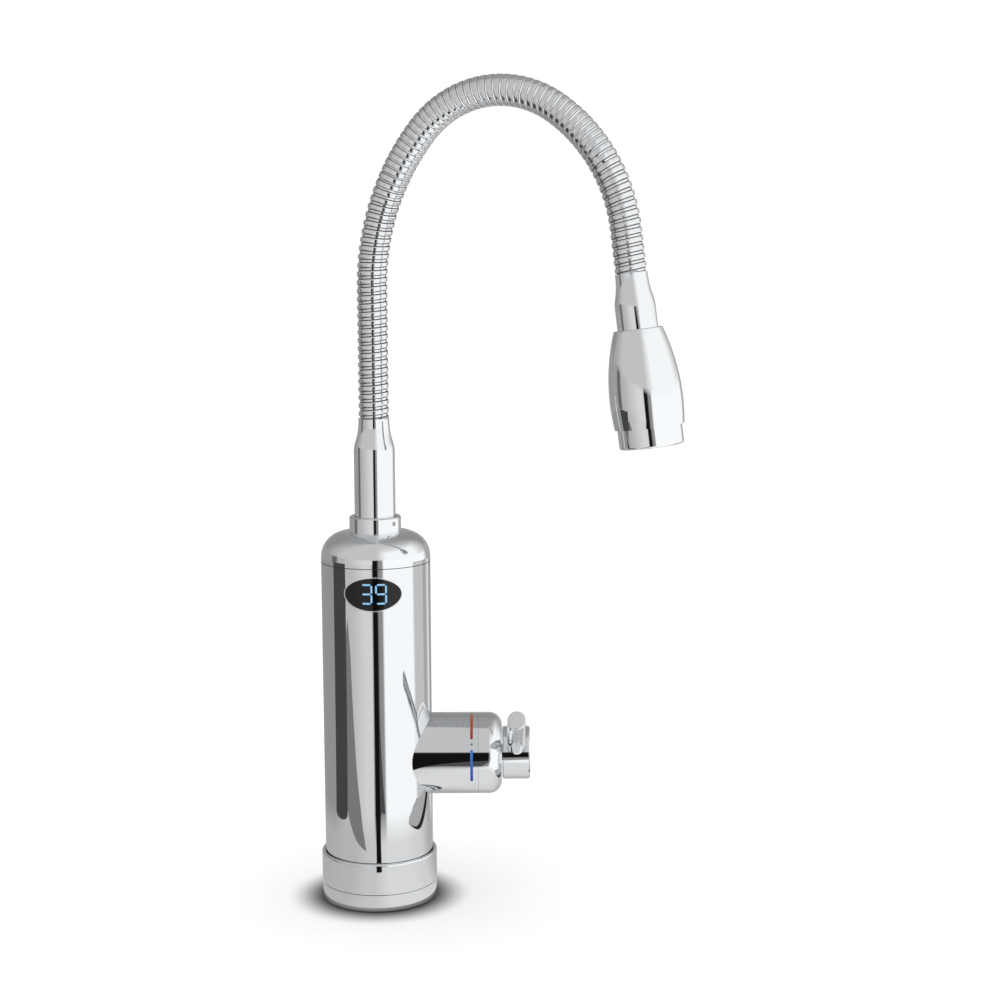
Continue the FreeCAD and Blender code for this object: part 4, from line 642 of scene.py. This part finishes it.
print(f"points closer than {JOIN * 1e6:.1f} micrometres are joined")

# %% [markdown]
# ## The hose
# The real hose bends anywhere. The model flexes at four places, and a piece can bend across only one
# of them, so the hose is cut between them, in stretches that stay rigid, where the cut never opens.

# %% Places where the hose bends
RIBS = 74
PITCH = HOSE_LENGTH / RIBS
# first and last rib of each place that flexes
FLEX = [(7, 13), (23, 29), (40, 46), (57, 63)]
HOSE_NODES = (
    ("hose_foot", "hose_flex_1"),
    ("hose_rise", "hose_flex_2"),
    ("hose_crown", "hose_flex_3"),
    ("hose_drop", "hose_flex_4", "hose_tip"),
)
# a distance past both ends of the hose
BEYOND = 1e3
CUTS = [-BEYOND] + [(a[1] + b[0]) / 2 * PITCH for a, b in zip(FLEX, FLEX[1:])] + [BEYOND]


def ring_point(distance, angle, radius):
    """A point on the circle round the hose's line, in metres."""
    point, along = on_hose(distance)
    outside = along.cross(SIDEWAYS)
    return (point + (SIDEWAYS * math.cos(angle) + outside * math.sin(angle)) * radius) * MM


def bend_between(piece, number):
    """Bakes a piece's place into its mesh. Its flexing stretch's ends are found but not used."""
    first, last = (on_hose(rib * PITCH)[0] * MM for rib in FLEX[number])
    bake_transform(piece)


print("cut at", [round(cut, 1) for cut in CUTS[1:-1]], "mm along the hose")

# %% [markdown]
# The strip's rows become points on circles square to the line. Inside the ferrules the hose is
# drawn down to a plain sleeve, so the radius shrinks there. The walls of the folds get a dark, dull
# material of their own: painted shade, for the shadow deep in the narrow grooves.

# %% Build the hose in four pieces
MOUTH, FOLD_DEPTH, FOLD_DEGREES, BORE_R = 0.7, 0.82, 42, 6.2
# painted shade in the folds: a dark, dull steel colour standing for the shadow deep in the grooves
fold_painted_shade = surface(
    "painted shade in the fold", "#6C6C6E", 1.0, 0.4, 0.1, 2, bump_mm=0.5, height_mm=0.004
)


def strip_radius(distance, depth):
    """The strip's radius, drawn down to the sleeve at the mouths of the two ferrules."""
    radius = BAND_R - depth
    room = min(distance, HOSE_LENGTH - distance) / MOUTH
    return min(radius, SLEEVE_R + (BAND_R - SLEEVE_R) * min(max(room, 0), 1))


def strip_points(mesh, row, bore=None):
    """The points of a row in one circuit, on the strip's outside or on the bore."""
    (start, depth), (end, end_depth) = strip[row], strip[row + ROWS]
    points = []
    for step in range(AROUND + 1):
        share = step / AROUND
        at = start + (end - start) * share
        radius = bore or strip_radius(at, depth + (end_depth - depth) * share)
        points.append(mesh.verts.new(ring_point(at, 2 * math.pi * share, radius)))
    return points


def hose_piece(number):
    """The turns of strip between two cuts, closed by the bore inside and a wall at each end."""
    turns = [
        turn
        for turn in range(len(strip) // ROWS - 2)
        if CUTS[number] <= strip[turn * ROWS][0] < CUTS[number + 1]
    ]
    first, last = turns[0] * ROWS, (turns[-1] + 1) * ROWS
    mesh = bmesh.new()
    rows = [strip_points(mesh, row) for row in range(first, last + 1)]
    bore = [strip_points(mesh, row, BORE_R) for row in range(first, last + 1, ROWS)]
    mesh.faces.new([row[0] for row in rows[: ROWS + 1]] + [bore[1][0], bore[0][0]])
    mesh.faces.new([row[-1] for row in rows[-ROWS - 1 :]] + [bore[-1][-1], bore[-2][-1]])
    depths = [depth for distance, depth in strip[first : last + 1]]
    # faces deeper than FOLD_DEPTH take the second material, the painted shade of the folds
    painted_shade_rows = [row for row, pair in enumerate(zip(depths, depths[1:])) if max(pair) > FOLD_DEPTH]
    skin(mesh, rows + bore[::-1] + rows[:1], painted_shade_rows)
    sharpen(mesh, FOLD_DEGREES)
    name = f"gooseneck_hose_{number + 1}"
    piece = new_piece(name, mesh, finishes["chrome_hose"])
    # the folds' painted shade as the piece's second material
    piece.data.materials.append(fold_painted_shade)
    bend_between(piece, number)
    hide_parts(*HOSE_NODES[number])
    return piece


for number in range(len(FLEX)):
    piece = hose_piece(number)
    print(piece.name, len(piece.data.polygons), "faces")

# %% [markdown]
# ## The water tube inside
# The strip isn't watertight: a plain plastic tube runs through it and carries the water. It is never
# seen, but it follows the neck's line, so it is cut as the hose is.

# %% Water tube in four pieces
TUBE_R, TUBE_BORE_R, TUBE_FOOT, TUBE_HEAD = 4.5, 3.0, 28.0, 21.0
TUBE_STEP, TUBE_AROUND = 4.0, 24
for number in range(len(FLEX)):
    low = max(CUTS[number], -TUBE_FOOT)
    high = min(CUTS[number + 1], HOSE_LENGTH + TUBE_HEAD)
    steps = math.ceil((high - low) / TUBE_STEP)
    distances = [low + (high - low) * step / steps for step in range(steps + 1)]
    path = [(at, TUBE_R) for at in distances] + [(at, TUBE_BORE_R) for at in reversed(distances)]
    mesh = bmesh.new()
    rows = [
        [mesh.verts.new(ring_point(at, angle, radius)) for angle in circuit(TUBE_AROUND)]
        for at, radius in path + path[:1]
    ]
    skin(mesh, rows)
    name = f"water_tube_{number + 1}"
    piece = new_piece(name, mesh, finishes["polymer_white"])
    bend_between(piece, number)
    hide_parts("inner_tube")
print("water tube", round(HOSE_LENGTH + TUBE_FOOT + TUBE_HEAD, 1), "mm long")

# %% [markdown]
# ## The display
# Behind the smoked lens sit two LED digits, which show the water's temperature. Unlit, the lens is
# black. Each lit bar is a thin plate with pointed ends, bent to the body's curve and laid a hair above
# the lens, because a black lens hides what lies under it.

# %% Shape of the digits
BODY_R, LENS_Z = 30.0, 176.7
DIGIT_SHIFT, DIGIT_PITCH = (0.6, 0.3), 7.9
BAR_WIDTH, COLUMN, ROW = 0.95, 5.4, 5.1
BAR_PROUD = 0.1
# how much shorter than its place in the digit an upright and a level bar are
UPRIGHT_GAP, LEVEL_GAP = 0.75, 0.95
# how a bar narrows: the distance from its end and its width there, in half widths
BAR_END = ((0.0, 0.15), (0.2, 0.55), (0.9, 1.0))
# the bars of a digit by their middle, in columns and rows, and whether they stand upright
BARS = {
    "top": (0, 1, False),
    "middle": (0, 0, False),
    "bottom": (0, -1, False),
    "upper_left": (-0.5, 0.5, True),
    "upper_right": (0.5, 0.5, True),
    "lower_left": (-0.5, -0.5, True),
    "lower_right": (0.5, -0.5, True),
}
DIGITS = {
    "three": ("top", "middle", "bottom", "upper_right", "lower_right"),
    "nine": ("top", "middle", "bottom", "upper_left", "upper_right", "lower_right"),
}


def on_front(across, height, proud):
    """A point on the body's front, by its distance along the curve and its height, in metres."""
    angle = across / BODY_R
    radius = BODY_R + proud
    return Vector((radius * math.sin(angle), -radius * math.cos(angle), height)) * MM


def plate(mesh, rows, place, proud):
    """A thin closed plate on a curved face: rows of points on top, their outer points again below."""
    loops = []
    for row in rows:
        spots = [(*spot, proud) for spot in row] + [(*row[-1], 0), (*row[0], 0), (*row[0], proud)]
        loops.append([mesh.verts.new(place(*spot)) for spot in spots])
    closed_skin(mesh, loops)


def light_bar(mesh, centre, length, upright):
    """A bar with pointed, rounded ends, as in a seven-bar digit, bent to the body's curve."""
    half, side = length / 2, BAR_WIDTH / 2
    ends = [(back * side - half, share) for back, share in BAR_END]
    rows = []
    for run, share in ends + [(-run, share) for run, share in reversed(ends)]:
        offsets = [(run, side * share * across) for across in (-1, -0.5, 0, 0.5, 1)]
        spots = [(-v, u) if upright else (u, v) for u, v in offsets]
        rows.append([(centre[0] + u, centre[1] + v) for u, v in spots])
    plate(mesh, rows, on_front, BAR_PROUD)


print(f"digits {2 * ROW + BAR_WIDTH:.2f} mm high")

# %% [markdown]
# A lamp behind each bar would be closer to the real display. Bars that shine by themselves look the
# same from every side and need no opening in the lens. Their glow drifts a little between two blues,
# as light does in a moulded bar.

# %% Lit digits
GLOW_MM, GLOW_POWER = 2.5, 1.0
# moulded clear acrylic over a blue light source: glossy, and lit through its whole depth
glow = surface("moulded acrylic light bar", "#18242E", 0.0, 0.3, 0.05, 2, IOR=1.49)
glow_tree = glow.node_tree
glow_shader = glow_tree.nodes["Principled BSDF"]
where = add_node(glow_tree, "ShaderNodeTexCoord").outputs["Object"]
cloud = add_node(glow_tree, "ShaderNodeTexNoise", {"Vector": where, "Scale": 1 / (GLOW_MM * MM)})
tint = add_node(
    glow_tree,
    "ShaderNodeMix",
    {
        MIX_SHARE: cloud.outputs["Fac"],
        MIX_FIRST: linear("#7CBDEC"),
        MIX_SECOND: linear("#A4D4F6"),
    },
    data_type="RGBA",
)
glow_tree.links.new(tint.outputs[MIX_RESULT], glow_shader.inputs["Emission Color"])
glow_shader.inputs["Emission Strength"].default_value = GLOW_POWER

for number, (digit, bars) in enumerate(DIGITS.items()):
    mesh = bmesh.new()
    middle = DIGIT_SHIFT[0] + (number - 0.5) * DIGIT_PITCH
    for bar in bars:
        column, row, upright = BARS[bar]
        centre = (middle + column * COLUMN, LENS_Z + DIGIT_SHIFT[1] + row * ROW)
        length = ROW - UPRIGHT_GAP if upright else COLUMN - LEVEL_GAP
        light_bar(mesh, centre, length, upright)
    new_piece(f"display_digit_{digit}", mesh, glow, "tap_body")
    print("digit", digit, "of", len(bars), "bars")

# %% [markdown]
# A narrow chrome edge frames the lens where the shell's opening is rolled. It is a flattened bead
# swept along the oval, half sunk in the shell, and shows as the bright line on one side of the lens.

# %% Bead round the lens
LENS_WIDTH, LENS_HEIGHT = 31.0, 18.3
BEAD_R, BEAD_RISE, BEAD_STEPS, BEAD_AROUND = 0.32, 0.192, 96, 10
mesh = bmesh.new()
rows = []
for angle in circuit(BEAD_STEPS):
    # the oval is cut straight through the shell, so it is measured across and not along the curve
    across, up = LENS_WIDTH / 2 * math.cos(angle), LENS_HEIGHT / 2 * math.sin(angle)
    normal = Vector((math.cos(angle) / LENS_WIDTH, math.sin(angle) / LENS_HEIGHT)).normalized()
    rows.append([])
    for tilt in circuit(BEAD_AROUND):
        x = across + normal.x * BEAD_R * math.cos(tilt)
        z = LENS_Z + up + normal.y * BEAD_R * math.cos(tilt)
        lift = BEAD_RISE * math.sin(tilt)
        depth = math.sqrt(BODY_R**2 - x**2)
        at = Vector((x, -depth, z)) + Vector((x, -depth, 0)).normalized() * lift
        rows[-1].append(mesh.verts.new(at * MM))
skin(mesh, rows)
new_piece("display_bead", mesh, finishes["chrome_metal"], "tap_body")
print("bead", 2 * BEAD_R, "mm wide")

# %% [markdown]
# ## Seams
# The cap, the shell and the two rings of the foot are separate castings. Where two meet, both edges
# are broken by a small bevel. The groove is so fine that chrome alone would show it as a broken line,
# so a thin black bead is laid at its bottom as painted shade: the dark line of the seam.

# %% Painted shade in the seams
SEAM_SHADE_R, SEAM_SHADE_STEPS, SEAM_SHADE_SIDES = 0.17, 128, 8
SEAMS = (("cap_seam_painted_shade", 29.86, 190.4), ("foot_seam_painted_shade", 31.72, 9.8))
for name, seam_r, seam_z in SEAMS:
    mesh = bmesh.new()
    rows = []
    for angle in circuit(SEAM_SHADE_STEPS):
        rows.append([])
        for tilt in circuit(SEAM_SHADE_SIDES):
            radius = seam_r + SEAM_SHADE_R * math.cos(tilt)
            height = seam_z + SEAM_SHADE_R * math.sin(tilt)
            at = Vector((radius * math.cos(angle), radius * math.sin(angle), height))
            rows[-1].append(mesh.verts.new(at * MM))
    skin(mesh, rows)
    # each seam's black bead is painted shade, the dark line down in the groove
    new_piece(name, mesh, finishes["rubber_black"], "tap_body")
    print(name, "at", seam_z, "mm")

# %% [markdown]
# ## Marks on the valve
# A red line on the barrel stands for hot, a blue one for cold and a dot between them for off. On the
# real tap they are printed in enamel ink over the chrome. A picture on the barrel would do, but it
# blurs close by, so each is a thin plate with round ends, bent round the barrel.

# %% Shape of the marks
VALVE_Z, BARREL_R, MARK_X, MARK_WIDTH = 81.4, 22.5, 52.3, 1.5
MARK_PROUD, MARK_STEPS, MARK_END_STEPS = 0.08, 24, 8


def on_barrel(along, angle, proud):
    """A point on the barrel by its distance along the valve and its angle above the level."""
    radius = BARREL_R + proud
    turned = math.radians(angle)
    return Vector((along, -radius * math.cos(turned), VALVE_Z + radius * math.sin(turned))) * MM


def mark_line(name, low, high, material):
    """A line round the barrel between two angles, with half-round ends."""
    side = MARK_WIDTH / 2
    reach = math.degrees(side / BARREL_R)
    first, last = low + reach, high - reach
    run = (last - first) / MARK_STEPS
    ends = [math.pi * step / MARK_END_STEPS for step in range(MARK_END_STEPS + 1)]
    outline = [(MARK_X + side, first + run * step) for step in range(MARK_STEPS)]
    outline += [(MARK_X + side * math.cos(a), last + reach * math.sin(a)) for a in ends]
    outline += [(MARK_X - side, last - run * step) for step in range(1, MARK_STEPS)]
    outline += [(MARK_X - side * math.cos(a), first - reach * math.sin(a)) for a in ends]
    mesh = bmesh.new()
    rows = []
    half = len(outline) // 2
    for (x0, a0), (x1, a1) in zip(outline[:half], outline[:half:-1]):
        rows.append([(x0, a0), ((x0 + x1) / 2, (a0 + a1) / 2), (x1, a1)])
    plate(mesh, rows, on_barrel, MARK_PROUD)
    new_piece(name, mesh, material, "tap_body")


print("marks", MARK_WIDTH, "mm wide at", MARK_X, "mm from the body's axis")

# %% [markdown]
# The ink's colour shifts a little along each line with height, as painted reflection of the studio. It
# could be two inks. One ink whose colour follows the height has no seam.

# %% Hot and cold marks


def enamel(name, low_colour, high_colour, low_z, high_z):
    """Enamel ink whose colour runs from one height to another, as painted reflection."""
    made = surface(
        name, low_colour, 0.0, 0.38, 0.06, 2, bump_mm=0.6, height_mm=0.004, Specular_IOR_Level=0.3
    )
    tree = made.node_tree
    where = add_node(tree, "ShaderNodeTexCoord").outputs["Object"]
    height = add_node(tree, "ShaderNodeSeparateXYZ", {"Vector": where}).outputs["Z"]
    share = add_node(
        tree, "ShaderNodeMapRange", {"Value": height, "From Min": low_z * MM, "From Max": high_z * MM}
    )
    ink = add_node(
        tree,
        "ShaderNodeMix",
        {
            MIX_SHARE: share.outputs["Result"],
            MIX_FIRST: linear(low_colour),
            MIX_SECOND: linear(high_colour),
        },
        data_type="RGBA",
    )
    tree.links.new(ink.outputs[MIX_RESULT], tree.nodes["Principled BSDF"].inputs["Base Color"])
    return made


# enamel ink: opaque and satin, as it dries without a gloss coat
# in each ink the shift from the low colour to the high one is painted reflection
hot_ink_with_painted_reflection = enamel("red enamel ink", "#A01028", "#A85A20", 94, 104)
cold_ink_with_painted_reflection = enamel("blue enamel ink", "#1C3AA8", "#2A78D0", 70, 89)
off_ink_with_painted_reflection = enamel("grey enamel ink", "#7E7470", "#8C827E", 90, 93)
# each mark by the angles of its ends above the level
MARKS = {
    "hot_mark": (33.6, 86.0, hot_ink_with_painted_reflection),
    "off_mark": (25.1, 27.9, off_ink_with_painted_reflection),
    "cold_mark": (-28.7, 19.0, cold_ink_with_painted_reflection),
}
for name, (low, high, ink) in MARKS.items():
    mark_line(name, low, high, ink)
    print(name, round(math.radians(high - low) * BARREL_R, 1), "mm long")

# %% [markdown]
# ## The spray face
# Water leaves through eighteen soft tips and, in the other setting, through the aerator in the
# middle. Each tip has a fine hole. Cutting it through the tip would take more faces than it is worth,
# so it is a small black dished disc in the tip's end: painted shade for the dark inside of the hole.

# %% Holes in the tips, as discs of painted shade
HEAD_START, HEAD_AXIS = on_hose(HOSE_LENGTH)
HEAD_SIDE = HEAD_AXIS.cross(SIDEWAYS)
PLATE_END, TIP_PROUD = 88.4, 0.8
NOZZLE_RINGS = ((7.2, 6), (11.3, 12))
HOLE_R, HOLE_LIP, HOLE_SIDES = 0.42, 0.03, 12
# a shallow dished disc as (radius, height), so the hole keeps a shadow of its own
HOLE_DISH = ((0.06, -0.02), (0.3, -0.01), (HOLE_R, HOLE_LIP), (HOLE_R, -0.05), (0.06, -0.05))


def in_head(across, aside, along):
    """A point in the spray head's own frame, in metres."""
    return (HEAD_START + HEAD_AXIS * along + SIDEWAYS * across + HEAD_SIDE * aside) * MM


mesh = bmesh.new()
for ring_r, count in NOZZLE_RINGS:
    for bearing in circuit(count)[:-1]:
        middle = (ring_r * math.cos(bearing), ring_r * math.sin(bearing))
        rows = []
        for radius, along in HOLE_DISH:
            end = PLATE_END + TIP_PROUD + HOLE_LIP + along
            rows.append([])
            for angle in circuit(HOLE_SIDES):
                across = middle[0] + radius * math.cos(angle)
                aside = middle[1] + radius * math.sin(angle)
                rows[-1].append(mesh.verts.new(in_head(across, aside, end)))
        closed_skin(mesh, rows)
# black discs as painted shade for the insides of the holes
new_piece("nozzle_holes_painted_shade", mesh, finishes["rubber_black"], "spray_face")
print(sum(count for ring_r, count in NOZZLE_RINGS), "tips along", [round(c, 3) for c in HEAD_AXIS])

# %% [markdown]
# The aerator ends in a grille of woven wire. A picture of wires would look flat from close by, so
# every wire is a thin tube that runs over one crossing and under the next.

# %% Grille of the aerator
WIRE_R, WIRE_SIDES, WIRE_GAP, WIRE_STEPS = 0.14, 6, 0.75, 4
GRILLE_R, WEAVE = 4.0, 0.084
wires = math.floor(GRILLE_R / WIRE_GAP)
offsets = [WIRE_GAP * number for number in range(-wires, wires + 1)]
mesh = bmesh.new()
for crosswise in (False, True):
    for number, offset in enumerate(offsets):
        reach = math.sqrt(GRILLE_R**2 - offset**2)
        steps = max(WIRE_STEPS, round(WIRE_STEPS * reach / WIRE_GAP))
        rows = []
        for step in range(steps + 1):
            run = -reach + 2 * reach * step / steps
            weave = math.cos(math.pi * (run / WIRE_GAP + number + crosswise)) * WEAVE
            rows.append([])
            for angle in circuit(WIRE_SIDES):
                across = offset + WIRE_R * math.cos(angle)
                end = PLATE_END + TIP_PROUD / 2 + WIRE_R + weave + WIRE_R * math.sin(angle)
                spot = (run, across) if crosswise else (across, run)
                rows[-1].append(mesh.verts.new(in_head(*spot, end)))
        closed_skin(mesh, rows)
new_piece("aerator_grille", mesh, finishes["steel"], "spray_face")
print(2 * len(offsets), "wires in the grille")

# %% [markdown]
# ## Inlet thread
# The water comes in from below through a brass socket with a half inch pipe thread, fourteen turns to
# the inch, with round crests and roots. A bump in its finish would do for a picture, but it leaves
# the bore smooth. Here the bore is a stack of rings whose radius follows the screw, and the thread
# runs out at both ends, as a tapped one does.

# %% Threaded socket
THREAD_PITCH, CORE_R, GROOVE_DEPTH, THREAD_AROUND = 25.4 / 14, 9.3, 1.1, 48
THREAD_FOOT, THREAD_TOP, THREAD_STEP, CRISP_DEGREES = 2.6, 17.3, 0.12, 35
# the turned outline as (radius, height), from the end of the thread round to its mouth
SOCKET = [
    (CORE_R, 17.4), (8.15, 17.4), (8.15, 18.9), (4.5, 18.9), (4.5, 21.9), (12.0, 21.9), (12.0, 1.9),
    (11.6, 1.5), (10.3, 1.5), (CORE_R, 2.5),
]
levels = round((THREAD_TOP - THREAD_FOOT) / THREAD_STEP)
SOCKET += [(CORE_R, THREAD_FOOT + THREAD_STEP * level) for level in range(levels + 1)] + SOCKET[:1]
mesh = bmesh.new()
rows = []
for radius, height in SOCKET:
    run_out = min(height - THREAD_FOOT, THREAD_TOP - height) / THREAD_PITCH
    deep = GROOVE_DEPTH * min(max(run_out, 0), 1) if radius == CORE_R else 0
    rows.append([])
    for angle in circuit(THREAD_AROUND):
        out = radius + deep * (0.5 - 0.5 * math.cos(2 * math.pi * height / THREAD_PITCH - angle))
        at = Vector((out * math.cos(angle), out * math.sin(angle), height))
        rows[-1].append(mesh.verts.new(at * MM))
skin(mesh, rows)
sharpen(mesh, CRISP_DEGREES)
piece = new_piece("threaded_inlet_socket", mesh, finishes["brass"], "tap_body")
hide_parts("inlet_socket")
print(f"thread pitch {THREAD_PITCH:.2f} mm on {levels} rings")
